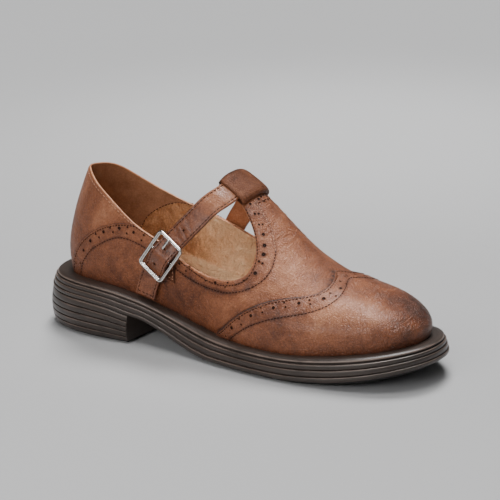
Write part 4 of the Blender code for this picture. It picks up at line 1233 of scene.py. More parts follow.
def upper_tones():
    tone = 0.50 + spotted(ON_LAST, TONE_AND_HIGHLIGHT_SPOTS)
    tone -= 0.20 * np.exp(-(ON_LAST[..., 2] - feather(AT_S)) / (3.2 * MM))
    for distance, depth, width, groove_shade, spread in GROOVES:
        tone -= groove_shade * ridge(distance, spread)
    # painted shade along the front panel's raised edge over the heel counter
    tone -= 0.22 * ridge(np.maximum(TO_STEP - 0.2 * MM, 0), 0.9) * (DOWNS > 2 * MM)
    tone -= 0.10 * np.sin(np.pi * IN_BAND)
    # the row drawn down into the crease above the sole is darker: painted shade
    return np.concatenate([tone, tone[-1:] - 0.2])


def lining_tones():
    """Darker at the heel, with a light strip where the insole's rim stands along the wall, and painted shade
    in the corner at its foot.
    """
    s = AT_S[LINING_ROWS]
    low = ON_LAST[LINING_ROWS][..., 2] - feather(s)
    strip = 0.40 * (1.0 - ease((low - 8.5 * MM) / (2.0 * MM)))
    return 0.36 + 0.44 * ease((s - 0.22) / 0.14) + strip - 0.10 * np.exp(-low / (5 * MM))


def dressed_upper():
    outer = upper_outside()
    inner = upper_inside()
    grid = np.concatenate([inner, mouth_rim(outer), outer])
    rows, count = grid.shape[:2]
    # materials: 0 outside, 1 collar edge, 2 vamp lining, 3 heel lining
    first_rim = len(LINING_ROWS) - 1
    last_rim = first_rim + RIM_ROWS + 1
    collar = AT_S[0] < 0.395
    seam = np.asarray(LINING_SEAM)
    inside_s = AT_S[LINING_ROWS]
    seam_s = np.interp(-np.abs(AT_Q[LINING_ROWS]), -seam[:, 1], seam[:, 0])
    is_heel = (inside_s < seam_s) | (inside_s < 0.09)
    slots = np.zeros((rows - 1, count), int)
    slots[:first_rim] = np.where(is_heel[:-1], 3, 2)
    slots[first_rim:last_rim] = np.where(collar, 1, 0)
    # tone of the folded edge; along the throat it is lighter, a painted highlight on the rolled edge
    rim = np.tile(np.where(collar, 0.58, 0.74), (RIM_ROWS, 1))
    tone = np.concatenate([lining_tones(), rim, upper_tones()])
    build("upper_shell", grid, grid_faces(rows, count, closed_columns=True),
          [upper_leather, edge_leather, lining, heel_lining], slots.reshape(-1), slot="leather",
          replaces=("upper",), tone=tone)
    return outer, inner


UPPER_OUTER, UPPER_INNER = dressed_upper()

# The winged toe cap

CAP_COLUMNS = 150
CAP_RISES = np.concatenate([
    np.linspace(0, 0.93, 52), [0.945, 0.957, 0.967, 0.976, 0.984, 0.990, 0.995, 1.0],
])
CAP_WAVES = ((0.28, 0.022, 21, 12), (0.07, 0.008, 23, 12))
CAP_CREASES = (
    (((0.800, -0.500), (0.830, -0.440), (0.850, -0.350)), -0.12, 0.9),
    (((0.840, -0.720), (0.870, -0.700), (0.900, -0.640)), 0.12, 1.0),
    (((0.700, -0.900), (0.740, -0.860), (0.790, -0.830)), 0.12, 1.1),
    (((0.860, -0.250), (0.880, -0.180), (0.890, -0.080)), 0.10, 1.0),
)
# spots of darker or lighter leather on the cap: s, q, radius in millimetres and the change of tone; the
# strongest light ones on the outer side's top are painted highlights, and the dark ones at the tip are partly
# burnish and partly painted shade
CAP_TONE_AND_HIGHLIGHT_SPOTS = (
    (0.965, 0.02, 17, -0.25), (0.95, 0.25, 18, -0.24), (0.93, 0.55, 20, -0.12), (0.975, -0.35, 10, -0.12),
    (0.86, -0.50, 15, 0.16), (0.90, -0.24, 10, 0.12), (0.80, -0.42, 12, 0.06), (0.72, -0.80, 18, -0.02),
    (0.82, 0.0, 12, 0.06), (0.65, -0.92, 10, 0.06), (0.78, 0.62, 16, 0.06), (0.90, -0.85, 12, -0.08),
    (0.93, 0.04, 9, -0.10), (0.86, 0.15, 10, -0.04), (0.82, -0.60, 13, 0.14), (0.88, -0.78, 12, -0.12),
)


def cap_place(across, up):
    return last_point(*cap_skin(np.clip(across, -1.0, 1.0), np.clip(up, 0.0, 1.0)))


def dressed_cap():
    across, up = np.meshgrid(np.linspace(-1.0, 1.0, 2 * CAP_COLUMNS + 1), CAP_RISES)
    s = cap_skin(across, up)[0]
    base = cap_place(across, up)
    normal = unit(lifted(cap_place, across, up, np.full(s.shape, MM), step=1e-3) - base)
    to_edge = nearest_of(base, wing_edge)
    to_stitch = nearest_of(base, last_line(WHOLE_WING_STITCH))
    in_band = (to_edge < 10.5 * MM) & (to_stitch < 10.5 * MM)
    band = np.where(in_band, np.sin(np.pi * to_edge / (to_edge + to_stitch + 1e-9)), 0.0)
    top = CAP_GAP - sunk(s) + CAP
    level = top - 0.35 * MM * np.clip(1.0 - to_edge / (0.9 * MM), 0, 1) ** 2 + 0.20 * MM * band
    level = level - 0.15 * MM * ridge(to_edge - 1.5 * MM, 0.5) - 0.16 * MM * ridge(to_stitch, 0.65)
    level = level + uneven(base, to_edge, CAP_WAVES) + creased(base, CAP_CREASES)
    outer = base + normal * level[..., None]
    # the cut edge, down to the vamp: forwards and down in millimetres
    forward = unit(base[-1] - base[-2])
    cut = [outer[-1] + forward * out * MM - normal[-1] * drop * MM
           for out, drop in ((0.25, 0.35), (0.30, 0.75), (0.18, 1.25), (0.0, 1.75))]
    cut.append(base[-6] + normal[-6] * (top[-6] - 1.75 * MM)[..., None])
    grid = np.concatenate([tucked(outer[0], normal[0]), outer, np.array(cut)])
    tone = 0.50 + spotted(base, CAP_TONE_AND_HIGHLIGHT_SPOTS) - 0.16 * np.exp(-(base[..., 2] - feather(s)) / (3.0 * MM))
    # dark along the cap's edge, the painted shadow under it, and in the stitch groove, painted shade
    tone = tone - 0.60 * ridge(to_edge, 0.7) - 0.26 * ridge(to_stitch, 0.9) - 0.06 * band
    # the row tucked into the crease above the sole and the cut edge going down to the vamp are darker:
    # painted shade
    tone = np.concatenate([tone[:1] - 0.2, tone, np.repeat(tone[-1:] - 0.35, len(cut), axis=0)])
    build("wing_cap", grid, grid_faces(*grid.shape[:2]), cap_leather, slot="leather", replaces=("toe_cap",),
          tone=tone)
    return outer


CAP_TOP = dressed_cap()

# The sole

SOLE_STATIONS = 420
BED_INSETS = (-14.0, -6.0, -1.0)      # rows of the bed under the upper
# side of the sole from the lip down, as in the solids but with rounded lip, bands and grooves
SIDE_FINE = (
    (0.000, 0.30, 0.00), (-0.006, 0.40, 0.00), (-0.004, 0.52, 0.00), (0.008, 0.66, 0.00), (0.028, 0.80, 0.00),
    (0.056, 0.905, 0.00), (0.090, 0.970, 0.00), (0.125, 1.000, 0.00), (0.160, 1.000, 0.00),
    (0.190, 0.975, 0.00), (0.210, 0.935, 0.00), (0.222, 0.900, 0.02), (0.232, 0.870, 0.10),
    (0.242, 0.945, 0.26), (0.256, 0.985, 0.36), (0.280, 1.000, 0.40), (0.340, 1.000, 0.42),
    (0.410, 1.000, 0.43), (0.440, 0.995, 0.41), (0.454, 0.975, 0.36), (0.461, 0.880, 0.32),
    (0.473, 0.880, 0.42), (0.481, 0.975, 0.58), (0.496, 0.995, 0.66), (0.520, 1.000, 0.70),
    (0.600, 1.000, 0.74), (0.690, 1.000, 0.76), (0.720, 0.995, 0.75), (0.735, 0.975, 0.70),
    (0.742, 0.880, 0.64), (0.754, 0.880, 0.74), (0.763, 0.975, 0.90), (0.780, 0.995, 0.97),
    (0.805, 1.000, 1.00), (0.870, 1.000, 1.00), (0.940, 1.000, 0.97), (0.965, 0.995, 0.93),
    (0.985, 0.985, 0.82), (1.000, 0.960, 0.62),
)
# the upper edges of the bands, lighter: a painted highlight where they would catch the light
HIGHLIGHT_EDGES = (0.090, 0.125, 0.256, 0.496, 0.780)
SIDE_HEIGHT = 0.012       # the streaks see the sole's side and the heel as this high
HEEL_HEIGHT = 0.022
HEEL_STATIONS = 241
HEEL_ACROSS = 13          # columns of the heel's flat front
# one of the heel's ribs: share of its height and share of the groove's depth
HEEL_RIB = (
    (0.02, 0.85), (0.05, 0.50), (0.09, 0.20), (0.16, 0.05), (0.30, 0.0), (0.50, 0.0), (0.70, 0.0),
    (0.84, 0.05), (0.91, 0.20), (0.95, 0.50), (0.98, 0.85), (1.0, 1.0),
)
HEEL_GROOVE = 0.75


def ring_lengths(ring):
    return lengths_along(np.concatenate([ring, ring[:1]]))[:-1]


def sole_side():
    """Rows round the sole from the bed over the lip to the underside, and how far down each one lies."""
    angle = station_angles(SOLE_STATIONS)
    rows = []
    for inset in BED_INSETS:
        flat = outline(angle, np.full(SOLE_STATIONS, inset * MM))
        height = feather(share_at(flat[:, 0])) - BED_GAP - 0.1 * MM
        rows.append(np.concatenate([flat, height[:, None]], axis=1))
    reach = lip_reach(along(angle))
    rows += [sole_row(angle, reach * lip + RIB * rib, drop) for drop, lip, rib in SIDE_FINE]
    return np.array(rows), np.array([0.0] * len(BED_INSETS) + [row[0] for row in SIDE_FINE])


def dressed_sole():
    grid, drop = sole_side()
    run = ring_lengths(grid[len(BED_INSETS) + 10])
    every = np.ones(grid.shape[:2])
    faces = grid_faces(len(grid), SOLE_STATIONS, closed_columns=True) + across_faces(0, SOLE_STATIONS)
    faces += across_faces((len(grid) - 1) * SOLE_STATIONS, SOLE_STATIONS)
    build("sole_unit", grid, faces, sole_rubber, slot="sole", replaces=("outsole",), sharp=50,
          run=every * run, climb=every * -drop[:, None] * SIDE_HEIGHT,
          worn=every * np.isin(drop, HIGHLIGHT_EDGES)[:, None])


dressed_sole()


def heel_levels():
    """Rows down the heel block: share of its height and share of the groove's depth."""
    ribs = [((rib + share) / HEEL_RIBS, cut) for rib in range(HEEL_RIBS) for share, cut in HEEL_RIB]
    return [(0.0, 0.3)] + ribs[2:-4] + [(0.975, 0.0), (0.988, 0.25), (1.0, 0.9)]


def dressed_heel():
    levels = heel_levels()
    reach = turn_at(HEEL_BREAST)
    angle = np.linspace(-reach, reach, HEEL_STATIONS)
    lip = lip_reach(along(angle))
    grid = []
    for level, groove in levels:
        flat = outline(angle, lip + RIB * SWELL["reach"](level) - HEEL_GROOVE * MM * groove)
        top = underside(share_at(flat[:, 0])) - 0.05 * MM
        height = top + (TREAD + GAP - top) * level
        grid.append(np.concatenate([flat, height[:, None]], axis=1))
    grid = np.array(grid)
    rows = len(grid)
    faces = grid_faces(rows, HEEL_STATIONS)
    half = HEEL_STATIONS // 2
    for first in (0, (rows - 1) * HEEL_STATIONS):
        last = first + HEEL_STATIONS - 1
        for j in range(half - 1):
            faces.append((first + j, first + j + 1, last - 1 - j, last - j))
        faces.append((first + half - 1, first + half, first + half + 1))
    # the flat front, set in a little between its edges
    across = np.linspace(0, 1, HEEL_ACROSS)
    front = grid[:, :1] + (grid[:, -1:] - grid[:, :1]) * across[None, :, None]
    front[..., 0] -= 0.9 * MM * np.sin(np.pi * across) ** 0.5 * 0.35
    faces += [tuple(grid[..., 0].size + k for k in f) for f in grid_faces(rows, HEEL_ACROSS)]
    high = np.array([level for level, groove in levels])[:, None] * np.ones(HEEL_STATIONS)
    # the upper edge of each rib is lighter: the same painted highlight as on the sole's bands
    worn = [float(groove == 0.05 and level * HEEL_RIBS % 1.0 < 0.5) for level, groove in levels]
    sides = (
        (np.tile(ring_lengths(grid[5]), (rows, 1)), np.tile(across * 0.08, (rows, 1))),
        (-high * HEEL_HEIGHT, front[..., 2]),
        (np.repeat(worn, HEEL_STATIONS), np.zeros(front[..., 2].size)),
    )
    run, climb, worn = (np.concatenate([a.reshape(-1), b.reshape(-1)]) for a, b in sides)
    build("heel_stack", np.concatenate([grid.reshape(-1, 3), front.reshape(-1, 3)]), faces, sole_rubber,
          slot="sole", replaces=("heel_block",), sharp=50, run=run, climb=climb, worn=worn)


dressed_heel()

# the tread layers get near-black rubber: partly their own colour and partly painted shade for the contact
# shadow under the sole
for name in ("heel_top_piece", "forefoot_tread"):
    tread_slot = frame["nodes"][name].material_slots[0]
    tread_slot.link = "OBJECT"
    tread_slot.material = tread_rubber

# The insole with its sock lining: rings from its edge inwards, inset and height over its bed in millimetres

INSOLE_RINGS = (
    (2.9, -0.1), (3.1, 1.6), (3.5, 2.3), (4.2, 2.65), (5.5, 2.75), (8.0, 2.55), (12.0, 2.2), (17.0, 1.9),
    (23.0, 1.8), (29.0, 1.8),
)
INSOLE_STATIONS = 300


def dressed_insole():
    rings = []
    for inset, lift in INSOLE_RINGS:
        flat = outline(station_angles(INSOLE_STATIONS), np.full(INSOLE_STATIONS, -inset * MM))
        height = feather(share_at(flat[:, 0])) - BED_GAP + GAP + lift * MM
        rings.append(np.concatenate([flat, height[:, None]], axis=1))
    grid = np.array(rings)
    grid[..., 2] += 0.12 * MM * lattice(grid, 0.014, 31)
    faces = grid_faces(len(grid), INSOLE_STATIONS, closed_columns=True)
    faces += across_faces((len(grid) - 1) * INSOLE_STATIONS, INSOLE_STATIONS)
    faces += across_faces(0, INSOLE_STATIONS)
    # darker on its outer rings: painted shade where the insole meets the wall
    tone = 0.56 - 0.10 * np.exp(-np.arange(len(grid)) / 1.2)[:, None] * np.ones(INSOLE_STATIONS)
    build("sock_insole", grid, faces, sock, slot="insole", replaces=("insole",), sharp=60, tone=tone)


dressed_insole()

# Strap, loop and buckle

# the strap's section: share of its half width and of its thickness
STRAP_ROUND = (
    (-1.000, 0.50), (-0.994, 0.24), (-0.970, 0.08), (-0.930, 0.00), (-0.60, 0.00), (0.00, 0.00), (0.60, 0.00),
    (0.930, 0.00), (0.970, 0.08), (0.994, 0.24), (1.000, 0.50), (0.994, 0.76), (0.970, 0.91), (0.930, 0.975),
    (0.88, 0.99), (0.83, 0.975), (0.790, 0.925), (0.750, 0.975), (0.70, 1.01), (0.60, 1.04), (0.50, 1.06),
    (0.25, 1.08), (0.00, 1.085), (-0.25, 1.08), (-0.50, 1.06), (-0.60, 1.04), (-0.70, 1.01), (-0.750, 0.975),
    (-0.790, 0.925), (-0.83, 0.975), (-0.88, 0.99), (-0.930, 0.975), (-0.970, 0.91), (-0.994, 0.76),
)
# cross creases of the strap: distance from the buckle's middle along it, its place across, half width, depth
STRAP_CREASES = (
    (15.5, -0.20, 0.9, 0.30), (17.8, 0.10, 0.8, 0.24), (20.0, -0.30, 0.8, 0.28), (22.6, 0.00, 1.0, 0.20),
    (25.5, -0.35, 0.9, 0.24), (28.5, 0.20, 1.0, 0.14), (32.0, -0.20, 1.1, 0.12), (-14.8, 0.0, 1.2, 0.16),
    (-5.0, 0.15, 1.3, 0.12), (5.5, -0.1, 1.3, 0.14),
)


def strap_lengths():
    share = np.linspace(0.0, 1.0, 1501)
    length = lengths_along(last_point(COURSE["s"](share), COURSE["q"](share)))
    return share, length, length[np.argmin(np.abs(COURSE["q"](share[:750]) - BUCKLE_AT[1]))]


STRAP_SHARE, STRAP_LENGTH, BUCKLE_LENGTH_AT = strap_lengths()


def share_of(distance):
    """The strap's share at a distance in metres from the buckle's middle, plus over the instep."""
    return float(np.interp(distance + BUCKLE_LENGTH_AT, STRAP_LENGTH, STRAP_SHARE))


def strap_at(distance, across, height):
    """A point of the strap: distance from the buckle, share of its half width, and height over its top."""
    share = share_of(distance)
    s, q, sides = strap_frame(share)
    lift = float(COURSE["lift"](share)) * STRAP + GAP + STRAP * 1.05 + height
    place = across * STRAP_WIDTH / 2.0
    return over_last(s + sides[0] * place, q + sides[1] * place, np.array(lift))


def strap_dent(d, place):
    """Depth of the creases, in millimetres, at a distance in millimetres along the strap's upper face."""
    dent = 0.0
    for at, side, half, depth in STRAP_CREASES:
        wander = at + 1.1 * math.sin(place * 2.1 + at)
        reach = math.exp(-((place - side) / 0.75) ** 2)
        dent += depth * reach * math.exp(-((d - wander) / half) ** 2)
    return dent - 0.07 * math.sin(d * 0.9 + place * 2.0)


def dressed_strap():
    start = -BUCKLE_LENGTH_AT
    end = STRAP_LENGTH[-1] - BUCKLE_LENGTH_AT
    ends = np.array([0, 0.12, 0.35, 0.7, 1.2, 1.8, 2.5]) * MM
    even = np.arange(start + 3.2 * MM, end - 3.2 * MM, 0.62 * MM)
    distances = np.concatenate([start + ends, even, end - ends[::-1]])
    rings, tones = [], []
    for d in distances:
        near_end = min(d - start, end - d)
        # the ends are a little narrower, and their edges thinner
        squeeze = 1.0 - 0.05 * max(0.0, 1.0 - near_end / (1.8 * MM)) ** 2
        thin = 1.0 if near_end > 0.7 * MM else 0.62 + 0.38 * math.sqrt(near_end / (0.7 * MM))
        section, tone = [], []
        for place, height in STRAP_ROUND:
            dent = strap_dent(d / MM, place) if height > 0.5 else 0.0
            section.append((place * squeeze, 0.5 + (height - 0.5) * thin - dent * MM / STRAP))
            edge = math.exp(-((1.0 - abs(place)) / 0.08) ** 2)
            stitch = math.exp(-((abs(place) - 0.79) / 0.05) ** 2)
            # darker at the edges; painted shade in the creases and in the stitch groove
            tone.append(0.56 - 0.20 * edge - 0.35 * max(dent, 0.0) - 0.12 * stitch)
        rings.append(strap_points(share_of(d), section))
        tones.append(tone)
    tones = np.array(tones)
    tones[distances < 12 * MM] -= 0.07
    # lighter towards the loop: a painted highlight on the strap's upper part
    tones += (0.26 * ease((distances - 34 * MM) / (14 * MM)) - 0.09)[:, None]
    count = len(STRAP_ROUND)
    faces = grid_faces(len(rings), count, closed_columns=True) + end_caps(len(rings), count)
    build("strap_band", rings, faces, strap_leather, slot="leather", replaces=("strap",), tone=tones)


dressed_strap()

# the loop's upper side from its back to its front: share of the way and of KEEPER_CROWN
LOOP_ROUND = (
    (0.015, -0.10), (-0.005, 0.05), (-0.010, 0.25), (-0.004, 0.46), (0.015, 0.64), (0.045, 0.79),
    (0.090, 0.90), (0.150, 0.965), (0.220, 0.995), (0.300, 1.005), (0.400, 1.010), (0.500, 1.005),
    (0.600, 0.990), (0.700, 0.970), (0.780, 0.945), (0.850, 0.905), (0.905, 0.845), (0.950, 0.745),
    (0.980, 0.615), (1.000, 0.440), (1.006, 0.240), (1.002, 0.050), (0.990, -0.10),
)
LOOP_UNDER = tuple((place, -KEEPER) for place in (1.0 - KEEPER_EDGE, 0.75, 0.50, 0.25, KEEPER_EDGE))
LOOP_ROOF = GAP + STRAP * CROWN + 1.5 * GAP
# the hole for the strap: share of the way round it, then place and height
LOOP_HOLE = (
    (0.0, 0.04, -GAP), (0.06, 0.04, LOOP_ROOF * 0.5), (0.12, 0.07, LOOP_ROOF), (0.40, 0.50, LOOP_ROOF),
    (0.66, 0.93, LOOP_ROOF), (0.72, 0.96, LOOP_ROOF * 0.5), (0.79, 0.96, -GAP), (0.86, 0.70, -GAP),
    (0.94, 0.30, -GAP), (1.0, 0.04, -GAP),
)


def dressed_loop():
    outer = [(place, height * KEEPER_CROWN) for place, height in LOOP_ROUND] + list(LOOP_UNDER)
    count = len(outer)
    marks, hole_places, hole_heights = np.array(LOOP_HOLE).T
    round_it = np.linspace(0, 1, count, endpoint=False)
    inner = list(zip(np.interp(round_it, marks, hole_places), np.interp(round_it, marks, hole_heights)))
    places = np.linspace(-KEEPER_SIDE, KEEPER_SIDE, 61)
    edge = np.clip((KEEPER_SIDE - np.abs(places)) / 0.016, 0, 1)
    outside = []
    for q, share in zip(places, edge):
        full = math.sqrt(max(0.0, 1.0 - (1.0 - share) ** 2))
        section = [(p, h if h < 0.2 * KEEPER_CROWN else h * (0.80 + 0.20 * full)) for p, h in outer]
        outside.append(keeper_ring(q, section))
    outside = np.array(outside)
    outside[..., 2] += 0.16 * MM * lattice(outside, 0.007, 41)
    inside = np.array([keeper_ring(q, inner) for q in places])
    total = len(places) * count
    faces = grid_faces(len(places), count, closed_columns=True)
    faces += [tuple(k + total for k in reversed(f)) for f in faces]
    for k in range(count):
        faces.append(((k + 1) % count, k, k + total, (k + 1) % count + total))
    for k in range(total - count, total):
        after = total - count + (k + 1) % count
        faces.append((k, after, after + total, k + total))
    mark = np.array([p for p, h in outer])
    tone = 0.62 - 0.10 * np.exp(-((mark - 0.5) / 0.6) ** 2) - 0.30 * np.exp(-(mark / 0.07) ** 2)
    tone = tone[None, :] - 0.15 * (1 - edge[:, None])
    build("bar_loop", np.concatenate([outside, inside]), faces, loop_leather, slot="dark_leather",
          replaces=("strap_keeper",), sharp=70, tone=np.concatenate([tone, np.full(tone.shape, 0.25)]))


dressed_loop()

# section of the buckle's frame: inset from its outline and height, in millimetres
FRAME_ROUND = (
    (0.00, 0.70), (0.01, 1.10), (0.06, 1.45), (0.20, 1.76), (0.42, 1.95), (0.70, 2.01), (0.98, 2.00),
    (1.18, 1.94), (1.30, 1.80), (1.36, 1.50), (1.42, 1.22), (1.52, 1.10), (1.62, 1.14), (1.72, 1.28),
    (1.90, 1.34), (2.12, 1.26), (2.30, 1.04), (2.40, 0.70), (2.36, 0.36), (2.16, 0.10), (1.80, 0.00),
    (0.80, 0.00), (0.34, 0.06), (0.10, 0.30),
)
PRONG_ASIDE = 0.0009
# the prong out of the strap's hole and over to the upper bar: share of half the frame, height in millimetres
PRONG_STOPS = (
    (0.37, -2.3), (0.395, -1.2), (0.44, -0.25), (0.54, 0.25), (0.68, 0.22), (0.82, 0.02), (0.93, 0.0),
    (0.985, -0.2),
)
# its radius in millimetres at shares of its length
PRONG_RADII = ((0, 0.7), (0.1, 0.88), (0.8, 0.86), (0.95, 0.70), (1.0, 0.35))


def dressed_buckle():
    centre, forward, across, out = buckle_axes()
    grid = []
    for inset, depth in np.array(FRAME_ROUND) * MM:
        radius = max(BUCKLE_CORNER - inset, BUCKLE_INNER_CORNER * 0.9)
        ring = rounded_rectangle(BUCKLE_LENGTH - 2 * inset, BUCKLE_WIDTH - 2 * inset, radius, parts=12)
        grid.append([centre + forward * a + across * b + out * (BUCKLE_RISE + depth) for a, b in ring])
    grid = np.array(grid)
    heap = Heap()
    heap.add(grid, grid_faces(*grid.shape[:2], closed_rows=True, closed_columns=True))
    middle = centre + out * BUCKLE_RISE
    reach = across * (BUCKLE_WIDTH - BUCKLE_BAR) / 2.0
    heap.add(*tube(np.array([middle - reach, middle, middle + reach]), CENTRE_BAR / 2.0, 16, out))
    build("buckle_square", *heap.parts(), nickel, slot="buckle", replaces=("buckle_frame",), sharp=60)
    top = BUCKLE_RISE + BUCKLE_DEPTH + GAP + PRONG / 2.0
    spot = centre + across * PRONG_ASIDE
    stops = [spot + forward * BUCKLE_LENGTH / 2.0 * place + out * (top + height * MM)
             for place, height in PRONG_STOPS]
    line = smooth_line(stops, 0.3 * MM)
    radii = np.interp(np.linspace(0, 1, len(line)), *np.array(PRONG_RADII).T) * MM
    build("buckle_pin", *tube(line, radii, 14, out, flat=0.85), nickel, slot="buckle",
          replaces=("buckle_prong",))


dressed_buckle()

# The tab under the buckle

TAB_ROWS = 26


def dressed_tab():
    (s_from, s_to), (q_from, q_to) = TAB_SPAN
    s, q = np.meshgrid(np.linspace(s_from, s_to, TAB_ROWS), np.linspace(q_from, q_to, TAB_ROWS))
    from_end = np.minimum(np.arange(TAB_ROWS), np.arange(TAB_ROWS)[::-1])
    edge = np.minimum(from_end[:, None], from_end[None, :])
    low = 1.5 * GAP
    top = low + TAB * np.where(edge == 0, 0.35, np.where(edge == 1, 0.85, 1.12))
    points, faces = slab(over_last(s, q, top), over_last(s, q, np.full(s.shape, low)))
    tone = np.concatenate([0.42 - 0.14 * (edge < 2), np.full(s.shape, 0.2)])
    build("buckle_flap", points, faces, loop_leather, slot="dark_leather", replaces=("buckle_tab",), sharp=60,
          tone=tone)


dressed_tab()

# Stitches and pinholes

STITCH = 2.05
PITCH = 2.75
THREAD = 0.27
# a stitch is thick in the middle and its ends turn down into the leather: place, depth and size at each
STITCH_SHAPE = np.array((
    (-1.0, -1.15, 0.45), (-0.88, -0.55, 0.80), (-0.6, -0.02, 1.0), (0.0, 0.10, 1.05), (0.6, -0.02, 1.0),
    (0.88, -0.55, 0.80), (1.0, -1.15, 0.45),
))
HOLE_SIDES = 20
# rings of a pinhole and of its raised rim: share of its radius, height in millimetres
HOLE_RINGS = ((0.15, 0.02), (0.70, 0.03), (0.97, 0.06))
RIM_RINGS = ((0.88, 0.00), (0.92, 0.12), (1.02, 0.19), (1.14, 0.17), (1.32, 0.06), (1.48, -0.10))


def surface_tree(grid, closed=False):
    points = [tuple(p) for p in grid.reshape(-1, 3)]
    return BVHTree.FromPolygons(points, grid_faces(*grid.shape[:2], closed_columns=closed))


def piece_tree(name):
    mesh = bpy.data.objects[name].data
    points = [tuple(v.co) for v in mesh.vertices]
    return BVHTree.FromPolygons(points, [tuple(p.vertices) for p in mesh.polygons])


def last_normal(places):
    """Outward normals at points near the last, from the nearest of the upper's own points."""
    flat = ON_LAST.reshape(-1, 3)
    nearest = [int(np.argmin(((flat - p) ** 2).sum(axis=1))) for p in places]
    return NORMALS.reshape(-1, 3)[nearest]


def landed(tree, spot, normal, share):
    """Where a surface lies under a spot, and its own normal blended with the given one by a share."""
    hit, up = tree.ray_cast(Vector(spot + normal * 6 * MM), Vector(-normal), 14 * MM)[:2]
    if hit is None:
        return None, None
    up = np.array(up)
    up = up if up @ normal > 0 else -up
    return np.array(hit), unit(share * up + (1.0 - share) * normal)


def stitched(heap, tree, line, normals, start=0.0, end=0.0, pitch=PITCH, length=STITCH, radius=THREAD):
    """Stitches along a line of points that lies over a surface; sizes in millimetres."""
    steps = lengths_along(line)
    whole = steps[-1] - (start + end) * MM
    count = max(1, int(whole / (pitch * MM)))
    for k in range(count + 1):
        at = start * MM + whole * k / count
        near = int(np.clip(np.searchsorted(steps, at), 1, len(line) - 2))
        # the triangle's own slant is damped, so that a groove doesn't twist the stitch
        spot, up = landed(tree, read_line(line, steps, [at])[0], normals[near], 0.4)
        if spot is None:
            continue
        way = unit(line[near + 1] - line[near - 1])
        way = unit(way - up * (way @ up))
        place, sink, size = STITCH_SHAPE.T
        course = spot + up * radius * MM * 0.25
        course = course + np.outer(place * length * MM / 2, way) + np.outer(sink * radius * MM, up)
        heap.add(*tube(course, size * radius * MM, 8, up, flat=0.85))


def punched(tree, spot, normal, radius, lift=0.0):
    """A pinhole: a dark dished disc, painted shade for the hole, in a small raised ring of leather."""
    spot, up = landed(tree, spot, normal, 0.5)
    if spot is None:
        return
    a = unit(np.cross(up, [0.21, 0.37, 0.91]))
    b = np.cross(up, a)
    turns = 2 * np.pi * np.arange(HOLE_SIDES) / HOLE_SIDES
    ring = (np.cos(turns)[:, None] * a + np.sin(turns)[:, None] * b) * radius * MM
    spot = spot + up * lift * MM
    # the rim's outermost ring goes down to the leather
    rim = RIM_RINGS[:-1] + ((RIM_RINGS[-1][0], RIM_RINGS[-1][1] - lift),)
    for heap, rings, ends in ((holes, HOLE_RINGS, [tuple(range(HOLE_SIDES))]), (hole_rims, rim, [])):
        points = [spot + ring * share + up * high * MM for share, high in rings]
        heap.add(points, grid_faces(len(rings), HOLE_SIDES, closed_columns=True) + ends)


def mouth_line(down, start, end, step=0.8):
    """A line on the last at a distance below the mouth, between two places of the loop."""
    points, normals = [], []
    for a in np.arange(start, end, step * MM):
        column = int(np.argmin(np.abs(COLUMNS - a)))
        other = min(column + 1, len(COLUMNS) - 1) if COLUMNS[column] <= a else max(column - 1, 0)
        span = COLUMNS[other] - COLUMNS[column]
        share = 0.0 if abs(span) < 1e-9 else float(np.clip((a - COLUMNS[column]) / span, 0, 1))
        for kept, field in ((points, ON_LAST), (normals, NORMALS)):
            here, there = (read_line(field[:, k], DOWNS[:, k], [down * MM])[0] for k in (column, other))
            kept.append(here * (1 - share) + there * share)
    return np.array(points), unit(np.array(normals))


def stitch_line(heap, sq, tree, **sizes):
    line = last_line(sq)
    stitched(heap, tree, line, last_normal(line), **sizes)


def arch_line(at, beside):
    """A line along one column of the pattern from the sole to the mouth, or a little beside it."""
    rises = np.linspace(0.03, 1.0, 90)
    line = skin(np.full(90, at), rises)
    aside = skin(np.full(90, at + 0.5 * MM), rises) - line
    return resampled(line + unit(aside) * beside * MM)


def cap_line(inset):
    """A line on the cap at a distance inside its edge, down to a little above the sole."""
    across, up = np.meshgrid(np.linspace(-1.0, 1.0, 400), np.linspace(0.30, 1.0, 141), indexing="ij")
    points = cap_place(across, up)
    inside = nearest_of(points, last_line(WHOLE_WING_EDGE, 0.5 * MM)) > inset * MM
    line = np.array([row[np.nonzero(ok)[0].max()] for row, ok in zip(points, inside) if ok.any()])
    keep = np.concatenate([[True], np.linalg.norm(np.diff(line, axis=0), axis=1) < 6 * MM])
    line = resampled(line[keep])
    return line[line[:, 2] - feather(share_at(line[:, 0])) > 1.5 * MM]


def strap_line(places):
    """Points on the strap's top and its normals there, from distances in millimetres and places across."""
    points = np.array([strap_at(d * MM, across, 0.0) for d, across in places])
    over = np.array([strap_at(d * MM, across, MM) for d, across in places])
    return points, unit(over - points)


UPPER_TREE = surface_tree(UPPER_OUTER, closed=True)
INNER_TREE = surface_tree(UPPER_INNER, closed=True)
CAP_TREE = surface_tree(CAP_TOP)
STRAP_TREE = piece_tree("strap_band")
TAB_TREE = piece_tree("buckle_flap")
dark_stitches = Heap()
light_stitches = Heap()
holes = Heap()
hole_rims = Heap()

# along the mouth: light thread on the collar, dark along the throat
line, normals = mouth_line(2.0, INNER_ARCH + 1.2 * MM, OUTER_ARCH - 1.2 * MM)
stitched(light_stitches, UPPER_TREE, line, normals, pitch=2.9, length=2.1, radius=0.25)
for start, end in ((0.6 * MM, INNER_ARCH - 1.2 * MM), (OUTER_ARCH + 1.2 * MM, KNOTS[-1] - 0.6 * MM)):
    line, normals = mouth_line(MOUTH_STITCH, start, end)
    stitched(dark_stitches, UPPER_TREE, line, normals, pitch=2.1, length=1.4, radius=0.31)
for line in (THROAT_LINE, THROAT_LINE_INNER):
    stitch_line(dark_stitches, line[:13], UPPER_TREE, pitch=2.2, length=1.45, radius=0.30)
    stitch_line(light_stitches, line[12:], UPPER_TREE, pitch=2.2, length=1.6, radius=0.26, start=1.2)
